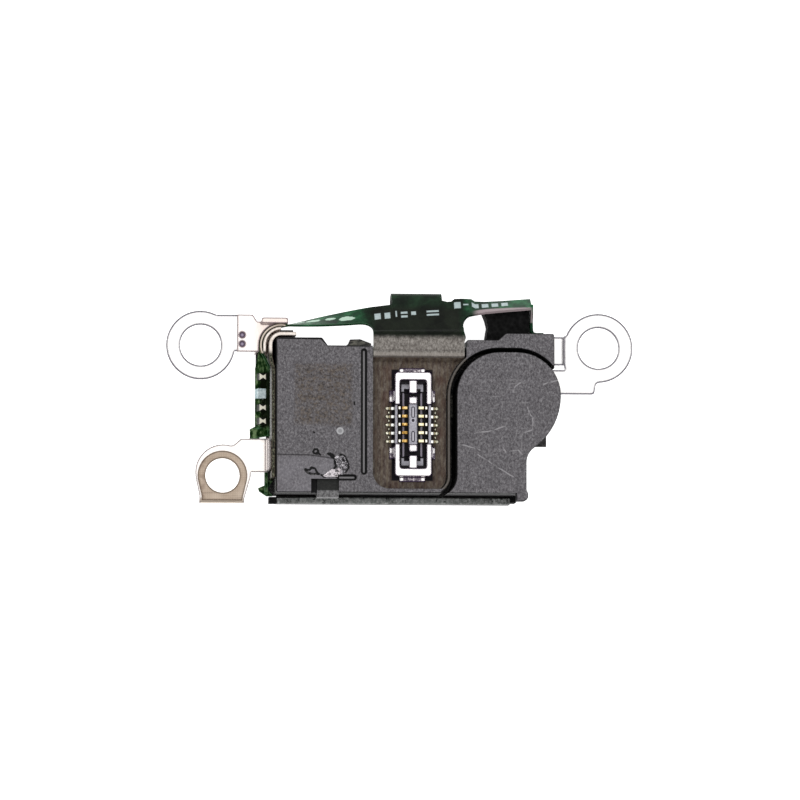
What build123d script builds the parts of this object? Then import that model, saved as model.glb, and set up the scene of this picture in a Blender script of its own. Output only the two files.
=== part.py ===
"""Vibration motor module of a handheld device.

A coin motor with an eccentric rotor stands in the round lobe of a flat moulded housing. A folded
flex circuit runs from the motor and its driver chip, round the upper edge, to a board connector in
a pocket of the face. Three sheet-metal ears hold the module with screws.

Millimetres. X runs along the module, Y across it, Z up out of the connector's face. The origin is
the centre of the module's outline at the level of the back cover's underside.
"""

import os
from math import asin, atan2, cos, degrees, hypot, radians, sin

from build123d import *

os.makedirs("parts", exist_ok=True)

# Levels above the underside
BASE_T = 0.15  # back cover plate
FACE_Z = 2.40  # face of the main cover
ISLAND_Z = 2.45  # face of the motor cover
POCKET_Z = 1.65  # floor of the connector pocket
UPPER_EAR_Z = 1.30  # underside of both upper ears
LOWER_EAR_Z = 0.95  # underside of the lower ear
WALL = 0.20  # moulded walls
EAR_T = 0.20  # ear sheet
PAD_T = 0.08  # conductive tape on the lower ear
FLEX_T = 0.10  # flex circuit with its cover films
EDGE_R = 0.05  # rounding of the covers' upper edges

# Plan of the main cover
FACE_LEFT = -5.32
FACE_RIGHT = 6.49
FACE_BOTTOM = -4.13
FACE_TOP_LEFT = 2.43
FACE_TOP_MID = 2.10
FACE_TOP_RIGHT = 2.67
POCKET_LEFT = -1.23
POCKET_RIGHT = 2.745
POCKET_BOTTOM = -3.95
POCKET_R = 0.70

# Plan of the motor cover, the raised island on the right
LOBE_LEFT = 2.33
LOBE_RIGHT = 6.757
LOBE_TOP = 1.875
LOBE_R = 1.84
CHEEK_R = 2.72  # slack curve below the lobe's right side
WAIST_R = 0.75
WAIST_TURN = 54.8
FOOT_LEFT, FOOT_BOTTOM = 4.86, -4.45
FOOT_Z = 1.95  # underside of the foot
GROOVE = 0.21
GROOVE_SHIFT = (-0.07, -0.05)  # the island stands a little off the middle of its recess
RIM = 0.09  # of the main cover, between groove and pocket

# Coin motor
MOTOR_X, MOTOR_Y = 4.54, -0.26
MOTOR_Z = 0.20
MOTOR_H = 1.90
MOTOR_R = 1.85
CASE_T = 0.12
SHAFT_R = 0.20
RUN_GAP = 0.02  # running clearance of the bearing
ROTOR_R = 1.63
COMMUTATOR_Z = 0.98

# Screw ears: hole centre, hole radius, ring radius
LEFT_EAR = (-8.47, 2.15, 0.866, 1.46)
RIGHT_EAR = (8.46, 2.15, 0.866, 1.47)
LOWER_EAR = (-7.51, -3.35, 0.727)
LOWER_RING = (-7.48, -3.21, 1.18)

# Board connector
PLUG_X, PLUG_Y = 0.477, -1.218
PLUG_Z = POCKET_Z + 2 * FLEX_T
PLUG_W = 1.53
PLUG_L = 4.10
PITCH = 0.35
CONTACTS_A_SIDE = 5
CONTACT_W = 0.12

# Flex circuit
STEM_LEFT, STEM_RIGHT = -1.21, 2.70
ROLL_LEFT, ROLL_RIGHT = -0.33, 1.82
ROLL_Y, ROLL_Z, ROLL_R = 4.05, 0.70, 0.40
SHOULDER_Y, SHOULDER_Z = 2.60, 2.36  # where the stem starts to fall behind the upper edge
CORNER_X, CORNER_Y = -5.08, 2.15  # centre of the bend round the upper left corner
INNER_FLEX_Z = 0.25


def write(piece, name):
    """Labels a finished piece and writes its STEP file."""
    piece.part.label = name
    export_step(piece.part, f"parts/{name}.step")


def polar(radius, angle, centre=(0, 0)):
    """Point at an angle in degrees round a centre."""
    return (centre[0] + radius * cos(radians(angle)), centre[1] + radius * sin(radians(angle)))


def block(x0, x1, y0, y1, z0, z1, mode=Mode.ADD):
    """Box between two corners."""
    with Locations(((x0 + x1) / 2, (y0 + y1) / 2, (z0 + z1) / 2)):
        return Box(x1 - x0, y1 - y0, z1 - z0, mode=mode)


def island_plan(foot=True, margin=0.0):
    """Outline of the motor cover: a round lobe above a narrower base, with a foot at its corner."""
    bend = POCKET_R + 0.25
    bend_x, bend_y = LOBE_LEFT - bend, POCKET_BOTTOM + POCKET_R - 0.11
    tail_angle = -degrees(asin((bend_y - FACE_BOTTOM) / bend))
    tail = polar(bend, tail_angle, (bend_x, bend_y))
    with BuildSketch() as plan:
        with BuildLine():
            rise = Line((LOBE_LEFT, bend_y), (LOBE_LEFT, LOBE_TOP - LOBE_R))
            shoulder = JernArc(rise @ 1, (0, 1), LOBE_R, -90)
            crown = Line(shoulder @ 1, (LOBE_RIGHT - LOBE_R, LOBE_TOP))
            far_shoulder = JernArc(crown @ 1, (1, 0), LOBE_R, -90)
            cheek = JernArc(far_shoulder @ 1, (0, -1), CHEEK_R, -WAIST_TURN)
            waist = JernArc(cheek @ 1, cheek % 1, WAIST_R, WAIST_TURN)
            right = (waist @ 1).X
            if foot:
                Polyline(
                    waist @ 1,
                    (right, -3.97),
                    (right + 0.07, -4.12),
                    (right + 0.07, FOOT_BOTTOM),
                    (FOOT_LEFT, FOOT_BOTTOM),
                    (FOOT_LEFT, FACE_BOTTOM),
                    tail,
                )
            else:
                Polyline(waist @ 1, (right, FACE_BOTTOM), tail)
            ThreePointArc(tail, polar(bend, tail_angle / 2, (bend_x, bend_y)), (LOBE_LEFT, bend_y))
        make_face()
        if foot:
            fillet(plan.vertices().group_by(Axis.Y)[0].sort_by(Axis.X)[-1], radius=0.22)
        if margin:
            offset(amount=margin)
    return plan.sketch


def cover_plan():
    """Outline of the main cover, less the groove and the island that stands in it."""
    with BuildSketch() as plan:
        with BuildLine():
            Polyline(
                (FACE_LEFT, FACE_BOTTOM),
                (FACE_LEFT, FACE_TOP_LEFT),
                (-3.38, FACE_TOP_LEFT),
                (-3.14, FACE_TOP_MID),
                (POCKET_RIGHT, FACE_TOP_MID),
                (POCKET_RIGHT, 2.38),
                (4.10, 2.38),
                (4.43, FACE_TOP_RIGHT),
                (FACE_RIGHT, FACE_TOP_RIGHT),
                (FACE_RIGHT, 0.0),
                (3.0, -1.0),
                (3.0, FACE_BOTTOM),
                close=True,
            )
        make_face()
        corners = plan.vertices().filter_by(lambda v: v.Y > 2.2 or v.X < FACE_LEFT + 0.01)
        fillet(corners, radius=0.10)
        with Locations(GROOVE_SHIFT):
            add(island_plan(margin=GROOVE), mode=Mode.SUBTRACT)
    return plan.sketch


def pocket_plan(inset=0.0):
    """Outline of the connector pocket, open towards the upper edge, with a thin rim to its right."""
    top = FACE_TOP_MID + 0.2 if not inset else 1.52
    with BuildSketch() as plan:
        with BuildLine():
            Polyline(
                (POCKET_LEFT + inset, top),
                (POCKET_LEFT + inset, POCKET_BOTTOM + inset),
                (POCKET_RIGHT - inset, POCKET_BOTTOM + inset),
                (POCKET_RIGHT - inset, top),
                close=True,
            )
        make_face()
        fillet(plan.vertices().group_by(Axis.Y)[0].sort_by(Axis.X)[0], POCKET_R - inset)
        with Locations(GROOVE_SHIFT):
            add(island_plan(margin=GROOVE + RIM + inset), mode=Mode.SUBTRACT)
    # the sliver beyond the groove's lower end is left solid
    return max(plan.sketch.faces(), key=lambda face: face.area)


def tab_face(points, centre=None, radius=None):
    """Flat outline of a sheet-metal ear: a polygon, with the ring it runs into."""
    with BuildSketch() as plan:
        with BuildLine():
            Polyline(*points, close=True)
        make_face()
        if centre:
            with Locations(centre):
                Circle(radius)
    return plan.sketch


island = island_plan()
island_core = island_plan(foot=False, margin=-WALL)
cover = cover_plan()

# ------------------------------------------------------------------ housing

BACK_POINTS = [
    (-5.60, FACE_BOTTOM),
    (-5.60, 1.20),
    (-6.05, 1.20),
    (-6.05, 2.50),
    (-5.50, 2.95),
    (-4.45, 2.95),
    (-4.45, 2.38),
    (-3.42, 2.38),
    (-3.18, 2.05),
    (4.10, 2.05),
    (4.40, 2.60),
    (6.38, 2.60),
    (6.38, -1.965),
    (5.00, -1.965),
    (5.00, FACE_BOTTOM),
]
LIP_LEFT, LIP_RIGHT = -5.17, 4.755
LIP_OUTER, LIP_INNER = -4.485, -4.21
LIP_Z = 0.70

with BuildPart() as back_cover:
    with BuildSketch():
        add(tab_face(BACK_POINTS))
        add(island_plan(foot=False))
    extrude(amount=BASE_T)
    # hemmed lip along the lower edge
    block(LIP_LEFT, LIP_RIGHT, LIP_OUTER, LIP_INNER, 0, LIP_Z)
    block(LIP_LEFT, LIP_RIGHT, LIP_INNER, FACE_BOTTOM, 0, BASE_T)
    fillet(back_cover.edges().filter_by(Axis.X).group_by(Axis.Z)[-1], radius=0.06)
write(back_cover, "back_cover")

with BuildPart() as corner_seals:
    block(LIP_LEFT - 0.33, LIP_LEFT, LIP_OUTER + 0.01, LIP_INNER, 0, LIP_Z - 0.05)
    block(LIP_RIGHT, FOOT_LEFT + 0.15, LIP_OUTER + 0.08, FACE_BOTTOM, 0, LIP_Z + 0.10)
write(corner_seals, "corner_seals")

SLOT_W = 0.20
SLOT_DEPTH = 0.12
CAVITY_LEFT, CAVITY_RIGHT = FACE_LEFT + WALL, 1.83
CAVITY_TOP = FACE_TOP_MID - WALL
CAVITY_LOW_Z = POCKET_Z - 0.25
CAVITY_HIGH_Z = FACE_Z - 0.30
CLIP_LEFT, CLIP_RIGHT = -3.57, -2.66
CLIP_TOP = -3.56
EAR_TAB_Z = 1.05  # right ear's lower tab, moulded into the cover
EAR_TAB_BOTTOM, EAR_TAB_TOP = 1.43, 2.64
FLEX_GATE_Y = (-1.15, 0.45)  # opening for the motor's flex, in both covers

with BuildPart() as front_cover:
    with BuildSketch(Plane.XY.offset(BASE_T)):
        add(cover)
    extrude(amount=FACE_Z - BASE_T)
    fillet(front_cover.faces().sort_by(Axis.Z)[-1].outer_wire().edges(), radius=EDGE_R)
    # connector pocket, open towards the upper edge
    with BuildSketch(Plane.XY.offset(POCKET_Z)):
        add(pocket_plan())
    extrude(amount=FACE_Z, mode=Mode.SUBTRACT)
    # chamber for the driver chip and the flex, in two heights
    with BuildSketch(Plane.XY.offset(BASE_T)):
        with BuildLine():
            Polyline(
                (CAVITY_LEFT, FACE_BOTTOM + WALL),
                (CAVITY_RIGHT, FACE_BOTTOM + WALL),
                (CAVITY_RIGHT, CAVITY_TOP),
                (CAVITY_LEFT, CAVITY_TOP),
                close=True,
            )
        make_face()
        fillet(vertices(), radius=0.5)
    extrude(amount=CAVITY_LOW_Z - BASE_T, mode=Mode.SUBTRACT)
    block(CAVITY_LEFT, -1.85, -3.3, CAVITY_TOP - 0.1, CAVITY_LOW_Z - 0.1, CAVITY_HIGH_Z, Mode.SUBTRACT)
    # long and short slots in the face
    with BuildSketch(Plane.XY.offset(FACE_Z)):
        with Locations((-1.605, -0.695)):
            SlotOverall(5.29, SLOT_W, rotation=90)
        with Locations((-2.33, -3.49)):
            SlotOverall(0.78, SLOT_W)
    extrude(amount=-SLOT_DEPTH, mode=Mode.SUBTRACT)
    # seat of the hold-down clip
    block(CLIP_LEFT - 0.27, CLIP_RIGHT, FACE_BOTTOM - 1, CLIP_TOP + 0.01, 2.08, 3, Mode.SUBTRACT)
    # ways through for the flex and the moulded-in ear tab
    block(ROLL_LEFT - 0.1, ROLL_RIGHT + 0.03, 1.5, 3, 0, 0.42, Mode.SUBTRACT)
    block(1.5, 3, *FLEX_GATE_Y, 0, 0.50, Mode.SUBTRACT)
    block(FACE_RIGHT - 0.25, 9, EAR_TAB_BOTTOM, EAR_TAB_TOP, EAR_TAB_Z, EAR_TAB_Z + EAR_T, Mode.SUBTRACT)
write(front_cover, "front_cover")

with BuildPart() as motor_cover:
    with BuildSketch(Plane.XY.offset(BASE_T)):
        add(island)
    extrude(amount=ISLAND_Z - BASE_T)
    fillet(motor_cover.faces().sort_by(Axis.Z)[-1].outer_wire().edges(), radius=EDGE_R)
    with BuildSketch(Plane.XY.offset(BASE_T)):
        add(island_core)
    extrude(amount=ISLAND_Z - BASE_T - WALL, mode=Mode.SUBTRACT)
    block(2, 3, *FLEX_GATE_Y, 0, 0.50, Mode.SUBTRACT)
    block(4, 6, -5, FACE_BOTTOM, 0, FOOT_Z, Mode.SUBTRACT)
write(motor_cover, "motor_cover")

with BuildPart() as hold_down_clip:
    block(CLIP_LEFT, CLIP_RIGHT, -4.20, CLIP_TOP, 2.08, 2.20)
    block(CLIP_LEFT, CLIP_RIGHT, -4.32, -4.20, 1.50, 2.20)
    fillet(hold_down_clip.edges().filter_by(Axis.X).group_by(Axis.Z)[-1].sort_by(Axis.Y)[0], 0.12)
write(hold_down_clip, "hold_down_clip")

# Stainless chassis: side wall and a double wall round the upper left corner
WALL_X = -5.42
INNER_WALL_R = 0.54
OUTER_WALL_R = 0.705
CHASSIS_BOTTOM = -3.48

with BuildPart() as chassis:
    with BuildSketch(Plane.XY.offset(BASE_T)):
        with BuildLine() as inner_path:
            low = Line((WALL_X, CHASSIS_BOTTOM), (WALL_X, 1.10))
            high = Line((CORNER_X - INNER_WALL_R + 0.08, 1.60), (CORNER_X - INNER_WALL_R + 0.08, CORNER_Y))
            Line(low @ 1, high @ 0)
            bend = JernArc(high @ 1, (0, 1), INNER_WALL_R - 0.08, -90)
            Line(bend @ 1, (-4.45, (bend @ 1).Y))
        trace(line_width=0.14)
    extrude(amount=1.95)
    with BuildSketch(Plane.XY.offset(BASE_T)):
        with BuildLine():
            rise = Line((CORNER_X - OUTER_WALL_R, 1.85), (CORNER_X - OUTER_WALL_R, CORNER_Y))
            JernArc(rise @ 1, (0, 1), OUTER_WALL_R, -90)
        trace(line_width=0.11)
    extrude(amount=1.80)
    # foot that joins the two walls
    with BuildSketch(Plane.XY.offset(BASE_T)):
        with BuildLine():
            rise = Line((CORNER_X - 0.62, 1.85), (CORNER_X - 0.62, CORNER_Y))
            JernArc(rise @ 1, (0, 1), 0.62, -90)
        trace(line_width=0.20)
    extrude(amount=0.15)
write(chassis, "chassis")

# ------------------------------------------------------------------ ears

BRACKET_Z = UPPER_EAR_Z + EAR_T
BRACKET_T = 0.15
WELD_X = -6.714
WELD_YS = (2.583, 2.202)
WELD_R = 0.12

with BuildPart() as upper_left_ear:
    with BuildSketch(Plane.XY.offset(UPPER_EAR_Z)):
        points = [(-8.30, 3.45), (-6.25, 3.45), (-6.25, 1.90), (-7.12, 1.90), (-8.30, 1.50)]
        add(tab_face(points, LEFT_EAR[:2], LEFT_EAR[3]))
        with Locations(LEFT_EAR[:2]):
            Circle(LEFT_EAR[2], mode=Mode.SUBTRACT)
    extrude(amount=EAR_T)
write(upper_left_ear, "upper_left_ear")

with BuildPart() as ear_bracket:
    with BuildSketch(Plane.XY.offset(BRACKET_Z)):
        points = [
            (-6.93, 3.45),
            (-6.27, 3.45),
            (-6.08, 3.16),
            (CORNER_X, 3.16),
            (CORNER_X, CORNER_Y),
            (-5.20, 1.87),
            (-6.93, 1.87),
        ]
        add(tab_face(points))
        with Locations((CORNER_X, CORNER_Y)):
            Circle(0.935, mode=Mode.SUBTRACT)
        with Locations((CORNER_X - 0.2, CORNER_Y - 0.4)):
            Rectangle(1.47, 0.8, mode=Mode.SUBTRACT)
        with Locations(*[(WELD_X, y) for y in WELD_YS]):
            Circle(WELD_R, mode=Mode.SUBTRACT)
    extrude(amount=BRACKET_T)
    # upright wall outside the flex, and its foot
    with BuildSketch(Plane.XY.offset(BASE_T)):
        with BuildLine():
            rise = Line((CORNER_X - 0.99, 1.87), (CORNER_X - 0.99, CORNER_Y))
            JernArc(rise @ 1, (0, 1), 0.99, -90)
        trace(line_width=0.11)
    extrude(amount=BRACKET_Z - BASE_T)
    with BuildSketch(Plane.XY.offset(BASE_T)):
        with BuildLine():
            rise = Line((CORNER_X - 0.86, 1.87), (CORNER_X - 0.86, CORNER_Y))
            JernArc(rise @ 1, (0, 1), 0.86, -90)
        trace(line_width=0.20)
    extrude(amount=0.15)
    # hemmed flange beside the upper edge
    with BuildSketch(Plane.XY.offset(BRACKET_Z)):
        with BuildLine():
            Polyline((-5.92, 3.06), (-4.79, 3.06), (-4.79, 3.30), (-5.92, 3.30), close=True)
        make_face()
        fillet(vertices().group_by(Axis.Y)[-1], radius=0.10)
    extrude(amount=0.50)
write(ear_bracket, "ear_bracket")

with BuildPart() as spot_welds:
    with Locations(*[(WELD_X, y, BRACKET_Z + 0.05) for y in WELD_YS]):
        Cylinder(WELD_R, 0.10)
write(spot_welds, "spot_welds")

with BuildPart() as right_ear:
    with BuildSketch(Plane.XY.offset(UPPER_EAR_Z)):
        points = [
            (7.00, 2.66),
            (8.46, 2.66),
            (8.55, 0.71),
            (8.36, 0.62),
            (8.28, 0.175),
            (6.20, 0.175),
            (6.20, 1.21),
            (7.04, 1.21),
            (7.00, EAR_TAB_BOTTOM),
        ]
        add(tab_face(points, RIGHT_EAR[:2], RIGHT_EAR[3]))
        with Locations(RIGHT_EAR[:2]):
            Circle(RIGHT_EAR[2], mode=Mode.SUBTRACT)
        add(island_plan(margin=0.03), mode=Mode.SUBTRACT)
        fillet(vertices().filter_by(lambda v: 8.2 < v.X < 8.4 and v.Y < 0.65), radius=0.12)
    extrude(amount=EAR_T)
    # step down to the tab that the cover is moulded round
    block(7.00, 7.13, EAR_TAB_BOTTOM, EAR_TAB_TOP, EAR_TAB_Z, UPPER_EAR_Z + EAR_T)
    block(FACE_RIGHT - 0.25, 7.13, EAR_TAB_BOTTOM, EAR_TAB_TOP, EAR_TAB_Z, EAR_TAB_Z + EAR_T)
write(right_ear, "right_ear")

LOWER_POINTS = [
    (-8.62, -3.55),
    (-8.48, -4.20),
    (-8.48, -4.50),
    (-6.59, -4.50),
    (-6.59, -4.36),
    (-6.34, -3.50),
    (-6.30, -3.20),
    (-5.58, -3.20),
    (-5.58, -1.78),
    (-6.72, -1.78),
    (-7.05, -2.06),
    (-7.48, -2.10),
]

with BuildPart() as lower_left_ear:
    with BuildSketch(Plane.XY.offset(LOWER_EAR_Z)):
        add(tab_face(LOWER_POINTS, LOWER_RING[:2], LOWER_RING[2]))
        with Locations(LOWER_EAR[:2]):
            Circle(LOWER_EAR[2], mode=Mode.SUBTRACT)
    extrude(amount=EAR_T)
    # bend at the root, with the leaf that is welded to the chassis
    block(-5.68, -5.58, -3.20, -1.82, LOWER_EAR_Z, 2.0)
    block(-5.58, WALL_X - 0.07, -3.10, -1.92, LOWER_EAR_Z, 1.60)
    block(-8.48, -6.59, -4.50, -4.37, 0.62, LOWER_EAR_Z + EAR_T)
    fillet(lower_left_ear.edges().filter_by(Axis.X).group_by(Axis.Y)[0].sort_by(Axis.Z)[-1], 0.08)
write(lower_left_ear, "lower_left_ear")

with BuildPart() as lower_ear_pad:
    with BuildSketch(Plane.XY.offset(LOWER_EAR_Z + EAR_T)):
        with Locations(LOWER_EAR[:2]):
            Circle(1.05)
        with BuildLine():
            Polyline(
                (-8.54, -3.55),
                (-8.39, -4.20),
                (-8.39, -4.41),
                (-6.68, -4.41),
                (-6.49, -3.60),
                close=True,
            )
        make_face()
        with Locations(LOWER_EAR[:2]):
            Circle(LOWER_EAR[2], mode=Mode.SUBTRACT)
    extrude(amount=PAD_T)
write(lower_ear_pad, "lower_ear_pad")

# ------------------------------------------------------------------ flex circuit

stem_mid_z = POCKET_Z + 1.5 * FLEX_T
stem_shoulder = (SHOULDER_Y, SHOULDER_Z)
fall, reach = SHOULDER_Z - ROLL_Z, ROLL_Y - SHOULDER_Y
SLOPE = degrees(atan2(fall, reach) - asin(ROLL_R / hypot(fall, reach)))
roll_start = polar(ROLL_R, 90 - SLOPE, (ROLL_Y, ROLL_Z))


def slope_z(y):
    """Height of the stem's middle where it falls behind the upper edge."""
    share = (y - stem_shoulder[0]) / (roll_start[0] - stem_shoulder[0])
    return stem_shoulder[1] + share * (roll_start[1] - stem_shoulder[1])


def strip_section(x, y, z, width, tilt):
    """Cross-section of a flex strip that runs along X, tilted about X from flat."""
    plane = Plane(origin=(x, y, z), x_dir=(0, cos(radians(tilt)), -sin(radians(tilt))), z_dir=(1, 0, 0))
    with BuildSketch(plane) as section:
        Rectangle(width, FLEX_T)
    return section.sketch


def panel_section(y, top, bottom):
    """Cross-section at y of the panel on the left wall, between two (x, z) points."""
    (x0, z0), (x1, z1) = top, bottom
    run = Vector(x1 - x0, 0, z1 - z0)
    plane = Plane(origin=((x0 + x1) / 2, y, (z0 + z1) / 2), x_dir=run, z_dir=(0, 1, 0))
    with BuildSketch(plane) as section:
        Rectangle(run.length, FLEX_T)
    return section.sketch


LEFT_ARM = [
    (-0.45, 3.56, slope_z(3.56), 0.88, SLOPE),
    (-2.95, 3.24, 1.45, 0.90, 58),
    (-4.55, 3.04, 1.36, 0.90, 82),
    (CORNER_X, 3.00, 1.35, 0.90, 90),
]
RIGHT_ARM = [
    (1.70, 3.70, slope_z(3.70), 0.92, SLOPE),
    (3.70, 3.85, 1.42, 0.90, 55),
    (5.62, 4.02, 1.30, 0.95, 60),
]
STEM_END = 3.74
PANEL = [
    (1.90, (-5.93, 1.80), (-5.93, 0.90)),
    (1.25, (-5.60, 1.95), (-6.06, 0.55)),
    (-1.26, (-5.60, 1.95), (-6.06, 0.55)),
    (-1.34, (-5.60, 1.95), (-6.27, 0.40)),
    (-1.66, (-5.60, 1.95), (-6.27, 0.40)),
]
TUCK = [
    (-1.60, (-6.05, 0.87), (-6.27, 0.40)),
    (-2.40, (-5.63, 0.87), (-5.63, 0.25)),
    (-4.10, (-5.63, 0.87), (-5.63, 0.25)),
]
CORNER_FLAP = [
    (-5.36, -3.52),
    (-5.60, -3.52),
    (-5.68, -3.72),
    (-5.97, -3.84),
    (-5.93, -3.98),
    (-5.62, -4.18),
    (-5.36, -4.18),
]
BRANCH_LEFT = -4.55
CHIP_CENTRE = (-3.35, -0.35)

with BuildPart() as flex_circuit:
    # tongue in the pocket
    with BuildSketch(Plane.XY.offset(POCKET_Z + FLEX_T)):
        add(pocket_plan(inset=0.035))
    extrude(amount=FLEX_T)
    # rise out of the pocket, roll over the edge and fall behind it
    with BuildSketch(Plane.YZ.offset(STEM_LEFT)):
        with BuildLine():
            FilletPolyline(
                (1.30, stem_mid_z),
                (1.50, stem_mid_z),
                (1.68, 2.44),
                stem_shoulder,
                (STEM_END, slope_z(STEM_END)),
                radius=[0.06, 0.12, 0.60],
            )
        trace(line_width=FLEX_T)
    extrude(amount=STEM_RIGHT - STEM_LEFT)
    # the stem's foot is trimmed along the rim
    with BuildSketch(Plane.XY.offset(POCKET_Z)):
        with Locations(GROOVE_SHIFT):
            add(island_plan(margin=GROOVE + RIM + 0.03))
    extrude(amount=FACE_Z + 0.01 - POCKET_Z, mode=Mode.SUBTRACT)
    # roll back under the module and on to the inner tongue
    with BuildSketch(Plane.YZ.offset(ROLL_LEFT)):
        with BuildLine():
            start = Line((3.4, slope_z(3.4)), roll_start)
            turn = JernArc(start @ 1, start % 1, ROLL_R, -(180 - SLOPE))
            Line(turn @ 1, (-1.05, (turn @ 1).Y))
        trace(line_width=FLEX_T)
    extrude(amount=ROLL_RIGHT - ROLL_LEFT)
    # inner branch under the driver chip
    block(BRANCH_LEFT, 0, -1.05, 0.45, INNER_FLEX_Z, INNER_FLEX_Z + FLEX_T)
    # arms
    loft([strip_section(*row) for row in LEFT_ARM])
    loft([strip_section(*row) for row in RIGHT_ARM])
    # bend round the corner
    with BuildSketch(Plane.XY.offset(0.90)):
        with BuildLine():
            bend = JernArc((CORNER_X, CORNER_Y + 0.85), (-1, 0), 0.85, 90)
            Line(bend @ 1, ((bend @ 1).X, 1.89))
        trace(line_width=FLEX_T)
    extrude(amount=0.90)
    # panel on the left wall, tucked in under the lower ear, with its corner flap
    loft([panel_section(*row) for row in PANEL], ruled=True)
    loft([panel_section(*row) for row in TUCK], ruled=True)
    with BuildSketch(Plane.XY.offset(0.55)):
        add(tab_face(CORNER_FLAP))
    extrude(amount=FLEX_T)
    # right arm's return leg, glued to the cover's upper wall
    block(5.57, 5.67, 2.67, 3.98, 0.92, 1.68)
    block(5.57, 6.10, 2.67, 2.77, 0.92, 1.68)
write(flex_circuit, "flex_circuit")

with BuildPart() as connector_stiffener:
    with BuildSketch(Plane.XY.offset(POCKET_Z)):
        with Locations((PLUG_X, -1.25)):
            RectangleRounded(2.9, 5.1, 0.5)
    extrude(amount=FLEX_T)
write(connector_stiffener, "connector_stiffener")

FOAM_POINTS = [
    (3.63, FACE_TOP_MID),
    (3.71, 2.70),
    (3.77, 3.05),
    (3.70, 3.35),
    (3.57, 3.66),
    (5.52, 3.86),
    (5.52, FACE_TOP_MID),
]

with BuildPart() as foam_pad:
    with BuildSketch(Plane.XY.offset(0.35)):
        with BuildLine():
            Polyline(*FOAM_POINTS, close=True)
        make_face()
        add(cover, mode=Mode.SUBTRACT)
    extrude(amount=1.05)
write(foam_pad, "foam_pad")

with BuildPart() as insulating_tape:
    block(-2.30, -1.28, FACE_TOP_MID, 2.17, 1.20, 2.00)
    with BuildSketch(Plane.XY.offset(2.00)):
        with BuildLine():
            Polyline(
                (-2.30, FACE_TOP_MID),
                (-2.18, 2.38),
                (-1.75, 2.40),
                (-1.28, 2.22),
                (-1.28, FACE_TOP_MID),
                close=True,
            )
        make_face()
    extrude(amount=0.07)
write(insulating_tape, "insulating_tape")

with BuildPart() as flex_tape:
    block(BRANCH_LEFT, -0.30, -1.05, 0.45, BASE_T, INNER_FLEX_Z)
    block(-0.30, 1.70, -1.05, 1.85, BASE_T, INNER_FLEX_Z)
write(flex_tape, "flex_tape")

with BuildPart() as driver_chip:
    with Locations((*CHIP_CENTRE, INNER_FLEX_Z + FLEX_T + 0.30)):
        Box(1.30, 1.10, 0.50)
    chamfer(driver_chip.edges().group_by(Axis.Z)[-1], length=0.03)
write(driver_chip, "driver_chip")

with BuildPart() as chip_balls:
    with Locations((*CHIP_CENTRE, INNER_FLEX_Z + FLEX_T + 0.025)):
        with GridLocations(0.35, 0.35, 3, 3):
            Cylinder(0.08, 0.05)
write(chip_balls, "chip_balls")

# Chip capacitors: two beside the driver and four on the left wall's panel
with BuildPart() as filter_capacitors:
    for y in (-0.65, -0.05):
        with Locations((-1.95, y, INNER_FLEX_Z + FLEX_T + 0.15)):
            Box(0.60, 0.30, 0.30)
write(filter_capacitors, "filter_capacitors")

LEAN = 18.19  # of the panel from upright, in degrees
PANEL_MID = (-5.752, 1.4875)
PART_YS = (0.80, 0.09, -0.51, -1.08)  # from the top down
PART_SIZES = ((0.27, 0.30), (0.36, 0.41), (0.27, 0.30), (0.27, 0.30))  # height, width
PART_L = 0.38
END_CAP = 0.10
PART_SINK = -0.09  # their middles stand above the panel's middle line


def on_panel(y, rise, along=0.0):
    """Place on the left wall's panel: rise is out from its surface, along is down it."""
    x = PANEL_MID[0] - rise * cos(radians(LEAN)) - along * sin(radians(LEAN))
    z = PANEL_MID[1] + rise * sin(radians(LEAN)) - along * cos(radians(LEAN))
    return Location((x, y, z), (0, LEAN, 0))


with BuildPart() as panel_chips:
    for y, (height, width) in zip(PART_YS, PART_SIZES):
        with Locations(on_panel(y, FLEX_T / 2 + height / 2, PART_SINK)):
            Box(height - 0.02, width - 0.03, PART_L - 2 * END_CAP)
write(panel_chips, "panel_chips")

with BuildPart() as panel_chip_ends:
    for y, (height, width) in zip(PART_YS, PART_SIZES):
        for side in (-1, 1):
            along = PART_SINK + side * (PART_L - END_CAP) / 2
            with Locations(on_panel(y, FLEX_T / 2 + height / 2, along)):
                Box(height, width, END_CAP)
write(panel_chip_ends, "panel_chip_ends")

# ------------------------------------------------------------------ board connector

CLIP_WEB = 0.34
CLIP_LEG = 0.21
CLIP_LEG_L = 1.33
SIDE_WALL = 0.11
ISLAND_W = 0.35
ISLAND_L = 2.30
PLUG_H = 0.55
row_ys = [PLUG_Y + (i - (CONTACTS_A_SIDE - 1) / 2) * PITCH for i in range(CONTACTS_A_SIDE)]

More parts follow.
